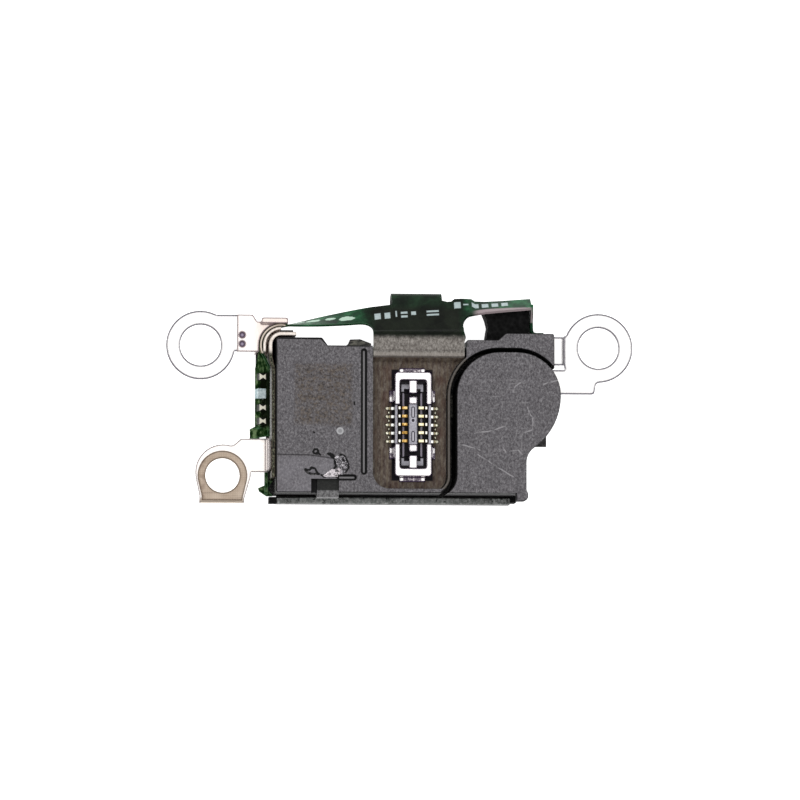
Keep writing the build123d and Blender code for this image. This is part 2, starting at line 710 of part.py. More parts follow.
with BuildPart() as connector_body:
    x0, x1 = PLUG_X - PLUG_W / 2, PLUG_X + PLUG_W / 2
    y0, y1 = PLUG_Y - PLUG_L / 2, PLUG_Y + PLUG_L / 2
    inner_end = PLUG_L / 2 - CLIP_LEG_L + 0.10
    block(x0, x1, y0, y1, PLUG_Z, PLUG_Z + 0.12)
    for side in (-1, 1):
        wall = PLUG_X + side * (PLUG_W - SIDE_WALL) / 2
        with Locations((wall, PLUG_Y, PLUG_Z + 0.26)):
            Box(SIDE_WALL, 2 * inner_end, 0.42)
        with Locations((PLUG_X, PLUG_Y + side * (PLUG_L / 2 - 0.20), PLUG_Z + 0.22)):
            Box(PLUG_W - 2 * CLIP_LEG - 0.02, 0.20, 0.34)
        # window in the floor beside the middle bar's end
        with Locations((PLUG_X, PLUG_Y + side * 1.42, PLUG_Z + 0.06)):
            Box(0.70, 0.22, 0.2, mode=Mode.SUBTRACT)
    with Locations((PLUG_X, PLUG_Y, PLUG_Z + 0.26)):
        Box(ISLAND_W, ISLAND_L, 0.48)
    chamfer(connector_body.edges().group_by(Axis.Z)[-1], length=0.03)
    # contact slots through the floor and the walls' feet
    with Locations(*[(PLUG_X, y, PLUG_Z + 0.06) for y in row_ys]):
        Box(PLUG_W + 0.1, CONTACT_W + 0.01, 0.1201, mode=Mode.SUBTRACT)
    for side in (-1, 1):
        with Locations(*[(PLUG_X + side * 0.59, y, PLUG_Z + 0.30) for y in row_ys]):
            Box(0.15, CONTACT_W + 0.01, 0.50, mode=Mode.SUBTRACT)
write(connector_body, "connector_body")

CONTACT_OUTLINE = [
    (0.98, 0.00),
    (0.98, 0.07),
    (0.66, 0.07),
    (0.655, 0.43),
    (0.525, 0.43),
    (0.525, 0.07),
    (0.36, 0.07),
    (0.36, 0.28),
    (0.48, 0.36),
    (0.46, 0.45),
    (0.24, 0.45),
    (0.24, 0.00),
]

with BuildPart() as signal_contacts:
    for y in row_ys:
        for side in (-1, 1):
            with BuildSketch(Plane.XZ.offset(-(y - CONTACT_W / 2))):
                with BuildLine():
                    Polyline(*[(PLUG_X + side * x, PLUG_Z + z) for x, z in CONTACT_OUTLINE], close=True)
                make_face()
            extrude(amount=-CONTACT_W)
write(signal_contacts, "signal_contacts")

with BuildPart() as power_clips:
    half_w = PLUG_W / 2 + 0.01
    for side in (-1, 1):
        end = PLUG_Y + side * (PLUG_L / 2 + 0.16)
        web = end - side * CLIP_WEB
        legs_end = end - side * (CLIP_LEG_L + 0.05)
        web_y, legs_y = sorted((web, end)), sorted((legs_end, end))
        with BuildSketch(Plane.XY.offset(PLUG_Z + 0.40)):
            with BuildLine():
                Polyline(
                    (PLUG_X - half_w, legs_end),
                    (PLUG_X - half_w, end),
                    (PLUG_X + half_w, end),
                    (PLUG_X + half_w, legs_end),
                    (PLUG_X + half_w - CLIP_LEG, legs_end),
                    (PLUG_X + half_w - CLIP_LEG, web),
                    (PLUG_X - half_w + CLIP_LEG, web),
                    (PLUG_X - half_w + CLIP_LEG, legs_end),
                    close=True,
                )
            make_face()
            fillet(vertices().filter_by(lambda v: abs(v.Y - end) < 0.001), radius=0.12)
            fillet(vertices().filter_by(lambda v: abs(v.Y - web) < 0.001), radius=0.10)
        extrude(amount=0.20)
        # end wall, solder foot and the latch tongue that stands in the mouth
        wall_y = sorted((PLUG_Y + side * (PLUG_L / 2 + 0.02), end))
        block(PLUG_X - half_w + 0.12, PLUG_X + half_w - 0.12, *wall_y, PLUG_Z, PLUG_Z + 0.45)
        foot_y = sorted((end, end + side * 0.20))
        block(PLUG_X - 0.55, PLUG_X + 0.55, *foot_y, PLUG_Z, PLUG_Z + 0.10)
        tongue_y = sorted((web + side * 0.05, PLUG_Y + side * (ISLAND_L / 2 + 0.16)))
        block(PLUG_X - 0.17, PLUG_X + 0.17, *tongue_y, PLUG_Z + 0.42, PLUG_Z + 0.52)
        for hand in (-1, 1):
            tab_x = sorted((PLUG_X + hand * (half_w - 0.01), PLUG_X + hand * (half_w + 0.07)))
            tab_y = sorted((legs_end + side * 0.12, legs_end + side * 0.62))
            block(*tab_x, *tab_y, PLUG_Z, PLUG_Z + 0.55)
            pad_x = sorted((PLUG_X + hand * (half_w + 0.07), PLUG_X + hand * (half_w + 0.20)))
            block(*pad_x, *tab_y, PLUG_Z, PLUG_Z + 0.08)
write(power_clips, "power_clips")

with BuildPart() as solder_joints:
    for side in (-1, 1):
        for y in row_ys:
            with Locations((PLUG_X + side * 1.055, y, PLUG_Z)):
                Sphere(0.072, arc_size1=0, align=(Align.CENTER, Align.CENTER, Align.NONE))
write(solder_joints, "solder_joints")

# ------------------------------------------------------------------ coin motor, fixed parts

motor = (MOTOR_X, MOTOR_Y)
case_in_r = MOTOR_R - CASE_T
motor_top = MOTOR_Z + MOTOR_H
base_top = MOTOR_Z + 0.15
film_top = base_top + 0.07


def ring(inner, outer, z0, z1):
    """Ring round the motor's axis."""
    with BuildSketch(Plane.XY.offset(z0)) as plan:
        with Locations(motor):
            Circle(outer)
            if inner:
                Circle(inner, mode=Mode.SUBTRACT)
    extrude(plan.sketch, amount=z1 - z0)


def sector(inner, outer, start, end):
    """Plan of a sector of a ring round the motor's axis, between two angles in degrees."""
    middle = (start + end) / 2
    with BuildSketch() as plan:
        with BuildLine():
            Line(polar(inner, start, motor), polar(outer, start, motor))
            ThreePointArc(*[polar(outer, a, motor) for a in (start, middle, end)])
            Line(polar(outer, end, motor), polar(inner, end, motor))
            ThreePointArc(*[polar(inner, a, motor) for a in (end, middle, start)])
        make_face()
    return plan.sketch


with BuildPart() as motor_adhesive:
    ring(0, MOTOR_R - 0.15, BASE_T, MOTOR_Z)
write(motor_adhesive, "motor_adhesive")

with BuildPart() as motor_base:
    ring(SHAFT_R, MOTOR_R, MOTOR_Z, base_top)
    ring(SHAFT_R, 0.34, base_top, 0.82)
write(motor_base, "motor_base")

NOTCH_HALF = 0.56
with BuildPart() as motor_case:
    ring(case_in_r, MOTOR_R, base_top, motor_top - CASE_T)
    ring(SHAFT_R, MOTOR_R, motor_top - CASE_T, motor_top)
    top_circles = motor_case.edges().filter_by(GeomType.CIRCLE).group_by(Axis.Z)[-1]
    fillet(top_circles.sort_by(SortBy.RADIUS)[-1], 0.10)
    notch_y = (MOTOR_Y - NOTCH_HALF, MOTOR_Y + NOTCH_HALF)
    block(MOTOR_X - 3, MOTOR_X, *notch_y, 0, film_top + 0.03, Mode.SUBTRACT)
write(motor_case, "motor_case")

with BuildPart() as motor_shaft:
    ring(0, SHAFT_R, MOTOR_Z, motor_top)
write(motor_shaft, "motor_shaft")

with BuildPart() as motor_flex:
    ring(0.36, 1.15, base_top, film_top)
    block(0.75, MOTOR_X - 0.6, MOTOR_Y - 0.5, MOTOR_Y + 0.5, base_top, film_top)
write(motor_flex, "motor_flex")

with BuildPart() as ring_magnet:
    ring(0.80, 1.60, film_top, film_top + 0.40)
write(ring_magnet, "ring_magnet")

BRUSH_TIP_Z = COMMUTATOR_Z - 0.015
with BuildPart() as brushes:
    for hand in (-1, 1):
        y = MOTOR_Y + hand * 0.56
        with BuildSketch(Plane.XZ.offset(-(y - 0.07))):
            with BuildLine():
                Polyline(
                    (MOTOR_X - 0.42, film_top),
                    (MOTOR_X - 0.12, film_top),
                    (MOTOR_X + 0.18, BRUSH_TIP_Z - 0.05),
                    (MOTOR_X + 0.30, BRUSH_TIP_Z - 0.05),
                    (MOTOR_X + 0.30, BRUSH_TIP_Z),
                    (MOTOR_X + 0.15, BRUSH_TIP_Z),
                    (MOTOR_X - 0.15, film_top + 0.05),
                    (MOTOR_X - 0.42, film_top + 0.05),
                    close=True,
                )
            make_face()
        extrude(amount=-0.14)
write(brushes, "brushes")

with BuildPart() as lower_washer:
    ring(SHAFT_R + 0.01, 0.33, 0.82, 0.88)
write(lower_washer, "lower_washer")

ROTOR_TOP = motor_top - CASE_T - 0.10
with BuildPart() as upper_washer:
    ring(SHAFT_R + 0.01, 0.38, ROTOR_TOP + RUN_GAP, motor_top - CASE_T)
write(upper_washer, "upper_washer")

with BuildPart() as motor_cushion:
    ring(0.6, 1.5, motor_top, ISLAND_Z - WALL)
write(motor_cushion, "motor_cushion")

# ------------------------------------------------------------------ rotor

BOARD_Z = COMMUTATOR_Z + 0.03
COIL_Z = BOARD_Z + 0.08
COIL_RING = 1.02
COIL_ANGLES = (-66, 66)
WEIGHT_HALF = 36
FRAME_HALF = 97
BUSH_R = 0.40

with BuildPart() as rotor_bushing:
    ring(SHAFT_R + RUN_GAP, BUSH_R, 0.88 + RUN_GAP, ROTOR_TOP)
write(rotor_bushing, "rotor_bushing")

with BuildPart() as commutator_segments:
    with BuildSketch(Plane.XY.offset(COMMUTATOR_Z)):
        for i in range(6):
            add(sector(BUSH_R + 0.02, 0.72, 60 * i + 4, 60 * i + 56))
    extrude(amount=BOARD_Z - COMMUTATOR_Z)
write(commutator_segments, "commutator_segments")

with BuildPart() as commutator_board:
    ring(BUSH_R, 0.95, BOARD_Z, COIL_Z)
write(commutator_board, "commutator_board")

with BuildPart() as rotor_coils:
    with BuildSketch(Plane.XY.offset(COIL_Z)):
        for angle in COIL_ANGLES:
            with Locations(polar(COIL_RING, angle, motor)):
                Circle(0.46)
                Circle(0.16, mode=Mode.SUBTRACT)
    extrude(amount=0.42)
write(rotor_coils, "rotor_coils")

with BuildPart() as counterweight:
    with BuildSketch(Plane.XY.offset(COIL_Z)):
        add(sector(0.62, ROTOR_R, -WEIGHT_HALF, WEIGHT_HALF))
    extrude(amount=ROTOR_TOP - COIL_Z - 0.03)
write(counterweight, "counterweight")

with BuildPart() as rotor_frame:
    with BuildSketch(Plane.XY.offset(COIL_Z)):
        add(sector(BUSH_R, ROTOR_R, -FRAME_HALF, FRAME_HALF))
        add(sector(0.62, ROTOR_R + 0.1, -WEIGHT_HALF, WEIGHT_HALF), mode=Mode.SUBTRACT)
    extrude(amount=ROTOR_TOP - COIL_Z)
    with BuildSketch(Plane.XY.offset(COIL_Z)):
        with Locations(*[polar(COIL_RING, angle, motor) for angle in COIL_ANGLES]):
            Circle(0.46)
    extrude(amount=0.42, mode=Mode.SUBTRACT)
write(rotor_frame, "rotor_frame")
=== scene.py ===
"""Looks of the vibration motor module.

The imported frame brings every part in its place. This script gives each one its surface, makes the
folded flex circuit, the solder and the residue as finer meshes, and sets up floor, light and camera.
Lengths in the tables are millimetres, and MM turns them into Blender's metres. Colours are display
colours, 0 to 255.
"""

from math import asin, atan2, cos, degrees, hypot, pi, radians, sin, sqrt, tan

import bmesh
import bpy
from mathutils import Matrix, Vector, noise


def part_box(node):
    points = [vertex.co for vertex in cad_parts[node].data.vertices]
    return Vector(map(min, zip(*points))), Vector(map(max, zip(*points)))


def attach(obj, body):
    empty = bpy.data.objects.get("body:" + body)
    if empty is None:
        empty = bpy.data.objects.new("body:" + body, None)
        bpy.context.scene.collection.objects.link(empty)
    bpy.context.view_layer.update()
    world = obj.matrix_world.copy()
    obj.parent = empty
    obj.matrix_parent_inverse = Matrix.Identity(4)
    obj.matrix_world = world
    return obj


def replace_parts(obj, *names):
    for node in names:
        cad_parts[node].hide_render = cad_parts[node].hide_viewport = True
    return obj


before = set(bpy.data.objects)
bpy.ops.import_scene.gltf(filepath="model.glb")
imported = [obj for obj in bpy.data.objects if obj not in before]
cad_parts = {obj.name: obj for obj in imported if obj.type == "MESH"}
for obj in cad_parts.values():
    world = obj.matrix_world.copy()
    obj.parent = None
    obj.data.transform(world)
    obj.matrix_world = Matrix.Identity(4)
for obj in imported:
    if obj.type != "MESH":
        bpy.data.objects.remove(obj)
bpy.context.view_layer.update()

MM = 0.001

# Levels and places that the frame's parts share
FACE_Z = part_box("front_cover")[1].z / MM
ISLAND_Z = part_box("motor_cover")[1].z / MM
POCKET_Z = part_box("connector_stiffener")[0].z / MM
FLEX_T = 0.10
PLUG_Z = POCKET_Z + 2 * FLEX_T
PLUG_X, PLUG_Y = [(a + b) / 2 / MM for a, b in zip(*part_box("connector_body"))][:2]


# ------------------------------------------------------------------ node tools


def linear(colour):
    """A display colour as the linear colour that shaders take; anything else as it is."""
    if not isinstance(colour, tuple) or len(colour) != 3:
        return colour
    return (*(c / 255 / 12.92 if c < 11 else ((c / 255 + 0.055) / 1.055) ** 2.4 for c in colour), 1.0)


def operator(operation):
    """Python's arithmetic on values, as a Math node."""
    return lambda a, b=0.0: a.look.math(operation, a, b)


class Value:
    """A number, place or colour that nodes work out. a | b is the larger of two."""

    def __init__(self, look, socket):
        self.look, self.socket = look, socket

    __add__, __sub__, __mul__ = operator("ADD"), operator("SUBTRACT"), operator("MULTIPLY")
    __truediv__, __or__, __abs__ = operator("DIVIDE"), operator("MAXIMUM"), operator("ABSOLUTE")

    def __rsub__(self, other):
        return self.look.math("SUBTRACT", other, self)

    def rise(self, low, high):
        """0 below low, 1 above high, smooth between. With high under low it falls."""
        inputs = {0: self, 1: low, 2: high}
        return self.look.node("MapRange", inputs, interpolation_type="SMOOTHSTEP", clamp=True)

    def scaled(self, low, high):
        """A 0 to 1 value spread between two numbers."""
        return self.look.node("MapRange", {0: self, 3: low, 4: high})

    def ramp(self, *stops):
        """The colour at this value, between (position, colour) stops."""
        made = self.look.tree.nodes.new("ShaderNodeValToRGB")
        points = made.color_ramp.elements
        while len(points) < len(stops):
            points.new(0.5)
        for point, (position, colour) in zip(points, stops):
            point.position, point.color = position, linear(colour)
        self.look.tree.links.new(self.socket, made.inputs[0])
        return Value(self.look, made.outputs[0])


class Look:
    """One procedural material: a Principled shader with the nodes that drive it, in millimetres."""

    def __init__(self, name, roughness=0.5, metallic=0.0, gloss=0.5):
        self.material = bpy.data.materials.new(name)
        self.material.use_nodes = True
        self.tree = self.material.node_tree
        self.shader = self.tree.nodes["Principled BSDF"]
        self.shader.inputs["Roughness"].default_value = roughness
        self.shader.inputs["Metallic"].default_value = metallic
        self.shader.inputs["Specular IOR Level"].default_value = gloss
        place = self.node("TexCoord", {}, output="Object")
        self.place = self.node("VectorMath", {0: place, 1: (1 / MM,) * 3}, operation="MULTIPLY")
        self.x, self.y, self.z = self.split(self.place)
        self.colour = None

    def connect(self, value, socket):
        if isinstance(value, Value):
            self.tree.links.new(value.socket, socket)
        else:
            socket.default_value = value

    def node(self, kind, inputs, output=0, **settings):
        made = self.tree.nodes.new("ShaderNode" + kind)
        for key, value in settings.items():
            setattr(made, key, value)
        for key, value in inputs.items():
            self.connect(value, made.inputs[key])
        return Value(self, made.outputs[output])

    def split(self, vector):
        made = self.tree.nodes.new("ShaderNodeSeparateXYZ")
        self.connect(vector, made.inputs[0])
        return [Value(self, output) for output in made.outputs]

    def upward(self, kind="True Normal"):
        """The z part of the surface's direction."""
        return self.split(self.node("NewGeometry", {}, output=kind))[2]

    def math(self, operation, a, b=0.0, clamp=False):
        return self.node("Math", {0: a, 1: b}, operation=operation, use_clamp=clamp)

    def vector(self, operation, inputs, output=0):
        return self.node("VectorMath", inputs, output=output, operation=operation)

    def texture(self, kind, at, inputs, **settings):
        """A texture at the look's place. at is another place, or scales the axes for grain that runs one way."""
        if isinstance(at, tuple):
            at = self.vector("MULTIPLY", {0: self.place, 1: at})
        return self.node("Tex" + kind, {"Vector": at or self.place, **inputs}, **settings)

    def noise(self, scale, detail=2.0, rough=0.5, warp=0.0, at=None):
        inputs = {"Scale": scale, "Detail": detail, "Roughness": rough, "Distortion": warp}
        return self.texture("Noise", at, inputs)

    def cells(self, scale, feature="F1", at=None):
        return self.texture("Voronoi", at, {"Scale": scale}, feature=feature)

    def waves(self, scale, distortion, axis="X", detail=2.0):
        inputs = {"Scale": scale, "Distortion": distortion, "Detail": detail}
        return self.texture("Wave", None, inputs, bands_direction=axis)

    def either(self, masks):
        result = masks[0]
        for mask in masks[1:]:
            result = result | mask
        return result

    def window(self, low, high, soft=0.03):
        """1 inside a box between two corners. None leaves a side open, and so does a missing z."""
        result = None
        for value, a, b in zip((self.x, self.y, self.z), low, high):
            sides = [] if a is None else [value.rise(a - soft, a + soft)]
            sides += [] if b is None else [value.rise(b + soft, b - soft)]
            for side in sides:
                result = result * side if result else side
        return result

    def segment(self, start, end, base=None):
        """Distance in plan from the line between two points."""
        base = base or self.node("CombineXYZ", {0: self.x, 1: self.y})
        run = Vector((end[0] - start[0], end[1] - start[1], 0))
        from_start = self.vector("SUBTRACT", {0: base, 1: Vector((*start, 0))})
        along = self.vector("DOT_PRODUCT", {0: from_start, 1: run}, 1)
        share = self.math("DIVIDE", along, max(run.length_squared, 1e-6), clamp=True)
        foot = self.vector("SCALE", {0: run, 3: share})
        return self.vector("LENGTH", {0: self.vector("SUBTRACT", {0: from_start, 1: foot})}, 1)

    def spot(self, x, y):
        """Distance in plan from a point."""
        return self.segment((x, y), (x, y))

    def nearest(self, lines, base=None):
        """Distance in plan from the nearest of several polylines."""
        found = [self.segment(a, b, base) for line in lines for a, b in zip(line, line[1:])]
        result = found[0]
        for other in found[1:]:
            result = self.math("MINIMUM", result, other)
        return result

    def edge(self, radius, low=0.008, high=0.05):
        """1 along the part's edges, within about half the radius."""
        soft = self.node("Bevel", {"Radius": radius * MM}, samples=8)
        sharp = self.node("NewGeometry", {}, output="True Normal")
        return (1.0 - self.vector("DOT_PRODUCT", {0: soft, 1: sharp}, 1)).rise(low, high)

    def mix(self, share, a, b):
        made = self.tree.nodes.new("ShaderNodeMix")
        made.data_type = "RGBA"
        for socket, value in ((made.inputs[0], share), (made.inputs[6], linear(a)), (made.inputs[7], linear(b))):
            self.connect(value, socket)
        return Value(self, made.outputs[2])

    def coat(self, mask, tint, share=None):
        """Lays a tint over the colour so far where the mask is 1, or a share of it."""
        self.colour = self.mix(mask if share is None else mask * share, self.colour, tint)

    def rough(self, value, low, high):
        self.connect(value.scaled(low, high), self.shader.inputs["Roughness"])

    def done(self, height, depth, strength=1.0):
        """The finished look: the colour so far, and relief of a depth in millimetres."""
        bump = self.node("Bump", {"Strength": strength, "Distance": depth * MM, "Height": height})
        self.connect(self.colour, self.shader.inputs["Base Color"])
        self.connect(bump, self.shader.inputs["Normal"])
        return self


def add(name, data):
    """A new object in the scene. A bmesh becomes a mesh."""
    if isinstance(data, bmesh.types.BMesh):
        mesh, data = data, bpy.data.meshes.new(name)
        mesh.to_mesh(data)
        mesh.free()
    made = bpy.data.objects.new(name, data)
    bpy.context.scene.collection.objects.link(made)
    return made


def paint(look, *nodes):
    """Gives CAD nodes their material."""
    for name in nodes:
        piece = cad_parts[name]
        if not piece.material_slots:
            piece.data.materials.append(None)
        for place in piece.material_slots:
            place.material = look.material


# ------------------------------------------------------------------ mouldings

MOULD_DARK = (44, 41, 43)
MOULD = (103, 100, 103)
MOULD_PALE = (156, 153, 156)
BLACK = (8, 7, 9)


def mould_look(name):
    """Glass-filled resin: dark grey with fine pale and dark flecks, in slow clouds."""
    look = Look(name, gloss=0.16)
    flecks = look.noise(10.5, 4.0, 0.9, at=(1.2, 0.85, 1.0))
    look.colour = flecks.ramp((0.38, MOULD_DARK), (0.49, MOULD), (0.52, MOULD), (0.64, MOULD_PALE))
    look.coat(look.noise(5.0, 3.0, 0.7).scaled(0.0, 0.40), (90, 87, 91))
    look.coat(look.noise(0.9, 2.0).scaled(0.0, 0.25), (108, 106, 110))
    # painted shade: rims and walls that turn away from the top are coated black
    look.coat(look.upward("Normal").rise(0.97, 0.80), BLACK, 0.92)
    return look


def mould_finish(look):
    look.rough(look.noise(6.0), 0.42, 0.66)
    return look.done(look.noise(17.0, 3.0, 0.7), 0.012, 0.55)


SLOTS = [((-1.605, -3.24), (-1.605, 1.85)), ((-2.62, -3.49), (-2.04, -3.49))]
ETCH_LOW, ETCH_HIGH = (-4.52, -1.26), (-2.11, 1.30)
SPECKS = [[(-2.02, -0.30), (-2.01, -0.40)], [(-3.74, -1.58), (-3.70, -1.60)]]
FRONT_OUTLINE = [(-5.32, -4.1), (-5.32, 2.40), (-3.42, 2.39), (-3.12, 2.10), (-1.40, 2.10)]
MOTOR_OUTLINE = [(2.62, 2.34), (4.04, 2.34), (4.34, 2.63), (6.40, 2.63)]
CREASES = [
    [(-3.04, -2.50), (-2.93, -2.60), (-2.84, -2.72), (-2.84, -2.86), (-2.79, -3.02), (-2.88, -3.14)],
    [(-2.60, -2.53), (-2.42, -2.60), (-2.33, -2.78), (-2.25, -2.95), (-2.27, -3.12), (-2.42, -3.28)],
    [(-4.09, -3.18), (-3.98, -3.30), (-3.78, -3.36), (-3.52, -3.35)],
    [(-3.40, -3.40), (-3.30, -3.47), (-2.98, -3.42), (-2.72, -3.48)],
    # a ring and loose shreds
    [(-3.75, -2.40), (-3.71, -2.31), (-3.60, -2.30), (-3.54, -2.39),
     (-3.61, -2.49), (-3.72, -2.48), (-3.75, -2.40)],
    [(-3.56, -2.44), (-3.46, -2.53)],
    [(-4.09, -3.14), (-3.99, -3.20), (-3.90, -3.17), (-3.82, -3.08),
     (-3.68, -3.12), (-3.60, -3.26), (-3.52, -3.36)],
    [(-3.12, -2.49), (-3.02, -2.57), (-2.93, -2.52), (-2.86, -2.60)],
    [(-3.02, -2.48), (-2.95, -2.66), (-2.86, -2.70)],
]


def front_cover_look():
    look = mould_look("moulded_cover")
    top = look.z.rise(FACE_Z - 0.07, FACE_Z - 0.02)
    # etched patch: a loose hatch of faint brown dots and short bars
    patch = look.window(ETCH_LOW, ETCH_HIGH, 0.12)
    grain = look.cells(6.5, at=(1.0, 1.35, 0.0))
    hatch = grain.rise(0.34, 0.20) | look.noise(4.2, 4.0, 0.7).rise(0.45, 0.62)
    etched = patch * top * hatch.scaled(0.25, 0.78)
    burnt = look.noise(8.0, 4.0, 0.9).ramp((0.42, (34, 27, 22)), (0.58, (112, 100, 88)))
    look.coat(etched, burnt)
    # smoother field where a tape lay, and its edge
    below = look.y.rise(-2.56, -2.64) * look.x.rise(-2.85, -2.95) * top
    look.coat(below * look.noise(1.4, 3.0).scaled(0.05, 0.55), (146, 143, 150))
    imprint = look.nearest([[(-5.25, -2.53), (-3.9, -2.55), (-2.87, -2.69)]]).rise(0.040, 0.012)
    look.coat(imprint * top * look.noise(3.0).scaled(0.4, 1.0), (22, 20, 22))
    # painted shade: black along the lower edge where the gap lies in shadow, and in the recess beside the clip
    look.coat(look.y.rise(-4.085, -4.105), BLACK)
    look.coat(look.window((-3.87, -4.3, None), (-3.50, -3.50, 2.30), 0.02), BLACK)
    creases = look.nearest(CREASES)
    torn = (creases + look.noise(7.0, 3.0, 0.7).scaled(-0.05, 0.05)).rise(0.060, 0.030)
    look.coat(torn * top, BLACK)
    # witness dot of the mould, and two dark specks
    dot = look.spot(-2.618, -1.524)
    look.coat(dot.rise(0.165, 0.14) * top, (178, 178, 180))
    look.coat(dot.rise(0.10, 0.07) * top, (146, 146, 149))
    specks = look.nearest(SPECKS)
    look.coat(specks.rise(0.05, 0.02) * top, BLACK)
    # painted shade: a black line along the cover's outline, where its groove lies in shadow
    look.coat(look.nearest([FRONT_OUTLINE]).rise(0.060, 0.035), BLACK)
    # slots: painted shade on the black rims, and a paler floor painted as lit from above
    for start, end in SLOTS:
        away = look.segment(start, end)
        look.coat(away.rise(0.148, 0.125) * look.z.rise(2.2, 2.25), BLACK)
        look.coat(away.rise(0.045, 0.03), (136, 134, 136))
    # thin rim beside the connector pocket
    look.coat(look.window((1.30, -3.95, 1.7), (2.735, 2.09, None), 0.01), (92, 86, 78), 0.7)
    return mould_finish(look)


SCRATCHES = [
    [(3.08, -1.60), (3.70, -1.50), (4.41, -1.27)],
    [(5.32, -0.49), (5.47, -0.82), (5.57, -0.88), (5.55, -1.71)],
    [(5.52, -1.45), (5.19, -1.53), (5.00, -1.79)],
    [(2.43, -2.06), (2.99, -2.20), (3.51, -2.35)],
    [(3.25, -2.48), (4.03, -3.00), (4.72, -3.43)],
    [(4.29, -2.18), (4.46, -2.48)],
    [(4.59, -2.33), (4.89, -2.29), (5.17, -2.53)],
    [(4.72, 0.16), (4.80, 0.41), (5.02, 0.59)],
    [(6.02, 0.50), (6.27, 0.59), (6.58, 0.67)],
]


def motor_cover_look():
    look = mould_look("moulded_motor_cover")
    top = look.z.rise(ISLAND_Z - 0.04, ISLAND_Z - 0.01)
    wander = look.noise(2.2, 2.0)
    shaken = look.node("CombineXYZ", {
        0: look.x + wander.scaled(-0.06, 0.06),
        1: look.y + look.noise(3.1, 2.0).scaled(-0.06, 0.06),
    })
    away = look.nearest(SCRATCHES, shaken)
    broken = look.noise(5.0, 2.0).rise(0.36, 0.56).scaled(0.12, 0.92)
    look.coat(away.rise(0.036, 0.008) * broken * top, (160, 157, 160))
    # fine handling marks that run two ways
    for lean in ((0.6, 8.0, 1.0), (7.0, 0.9, 1.0)):
        hair = look.noise(1.2, 3.0, 0.6, at=lean).rise(0.61, 0.70)
        look.coat(hair * top * broken * 0.45, (152, 149, 151))
    # painted shade: a black line along the groove round the lobe
    look.coat(look.nearest([MOTOR_OUTLINE]).rise(0.055, 0.030), BLACK)
    return mould_finish(look)


LIP_TILT = 0.0255  # slope of the lip's upper line in plan


def back_cover_look():
    """Coated sheet: even dark grey underneath, scuffed pale and chipped black on the hemmed lip."""
    look = Look("coated_sheet", roughness=0.5, metallic=0.2, gloss=0.2)
    grain = look.noise(8.0, 4.0, 0.8)
    look.colour = grain.ramp((0.34, (30, 29, 30)), (0.48, (52, 51, 52)), (0.66, (96, 95, 94)))
    lip = look.z.rise(0.55, 0.62)
    scuff = lip * look.noise(1.3, 2.0).rise(0.40, 0.60)
    look.coat(lip, grain.ramp((0.36, (66, 68, 66)), (0.50, (112, 114, 112)), (0.64, (172, 174, 172))))
    look.coat(scuff, (150, 153, 151), 0.30)
    chips = lip * look.noise(4.6, 4.0, 0.7).rise(0.60, 0.63)
    look.coat(chips, (14, 13, 14), 0.9)
    look.coat(look.edge(0.04), (150, 147, 146), 0.25)
    # painted shade: the lip is black along the gap above it, which is widest at its left end
    gap = look.y - look.x * LIP_TILT
    look.coat(lip * gap.rise(-4.145, -4.12), BLACK)
    look.rough(grain, 0.40, 0.65)
    return look.done(look.noise(9.0, 3.0, 0.65), 0.010, 0.6)


def foam_look(name, level, pores):
    """Closed-cell foam or gasket: black, with fine pores."""
    look = Look(name, roughness=0.95, gloss=0.15)
    cell = look.cells(pores)
    grey = level + 12
    look.colour = cell.ramp((0.0, (4, 4, 4)), (0.6, (level,) * 3), (1.0, (grey,) * 3))
    return look.done(cell, 0.02, 0.7)


def dark_resin_look(name, dark, pale, shine):
    """Plain dark moulding resin with a fine grain and rubbed edges."""
    look = Look(name, roughness=shine)
    grain = look.noise(16.0, 2.0, 0.6)
    look.colour = grain.ramp((0.3, dark), (0.75, pale))
    look.coat(look.edge(0.03), (120, 118, 120), 0.35)
    look.rough(look.noise(5.0), shine - 0.08, shine + 0.12)
    return look.done(grain, 0.004, 0.5)


def hold_down_look():
    """Black clip with a paler rolled lip."""
    look = Look("hold_down_resin", roughness=0.5, gloss=0.2)
    grain = look.noise(12.0, 3.0, 0.7)
    look.colour = grain.ramp((0.35, (22, 23, 22)), (0.65, (42, 43, 41)))
    look.coat(look.y.rise(-4.00, -4.06), grain.ramp((0.38, (70, 69, 70)), (0.62, (132, 131, 132))))
    return look.done(grain, 0.006, 0.6)


# ------------------------------------------------------------------ metals


def steel_look(name, colour, edge_shade, edge_radius=0.15):
    """Rolled sheet: fine brushing one way, and painted shade darkening the sheared edges."""
    look = Look(name, metallic=1.0)
    lines = look.noise(3.0, 3.0, 0.6, at=(1.0, 14.0, 1.0))
    low = (*(c * 0.95 for c in linear(colour)[:3]), 1.0)
    look.colour = lines.ramp((0.25, low), (0.7, colour))
    look.coat(look.edge(edge_radius, 0.006, 0.035), edge_shade)
    look.rough(look.noise(2.0), 0.23, 0.42)
    return look.done(lines, 0.002, 0.25)


def chassis_look():
    """Stainless wall: sheared, rough, tan-grey along its upper edge, bright round the corner."""
    look = Look("chassis_steel", roughness=0.4, metallic=0.75)
    grain = look.noise(11.0, 3.0, 0.7)
    tan_grey = grain.ramp((0.38, (18, 20, 14)), (0.50, (46, 47, 36)), (0.64, (112, 112, 94)))
    cream = grain.ramp((0.3, (214, 200, 188)), (0.7, (250, 243, 236)))
    corner = look.y.rise(1.70, 1.98)
    look.colour = look.mix(corner, tan_grey, cream)
    # painted shade: the corner's lower parts are a darker pinkish cream
    look.coat(corner * look.z.rise(1.75, 1.55), (176, 158, 146), 0.8)
    look.coat(look.edge(0.07), (84, 68, 58), 0.55)
    return look.done(grain, 0.010, 0.6)


WELDS = [[(-6.714, y), (-6.714, y)] for y in (2.583, 2.202)]


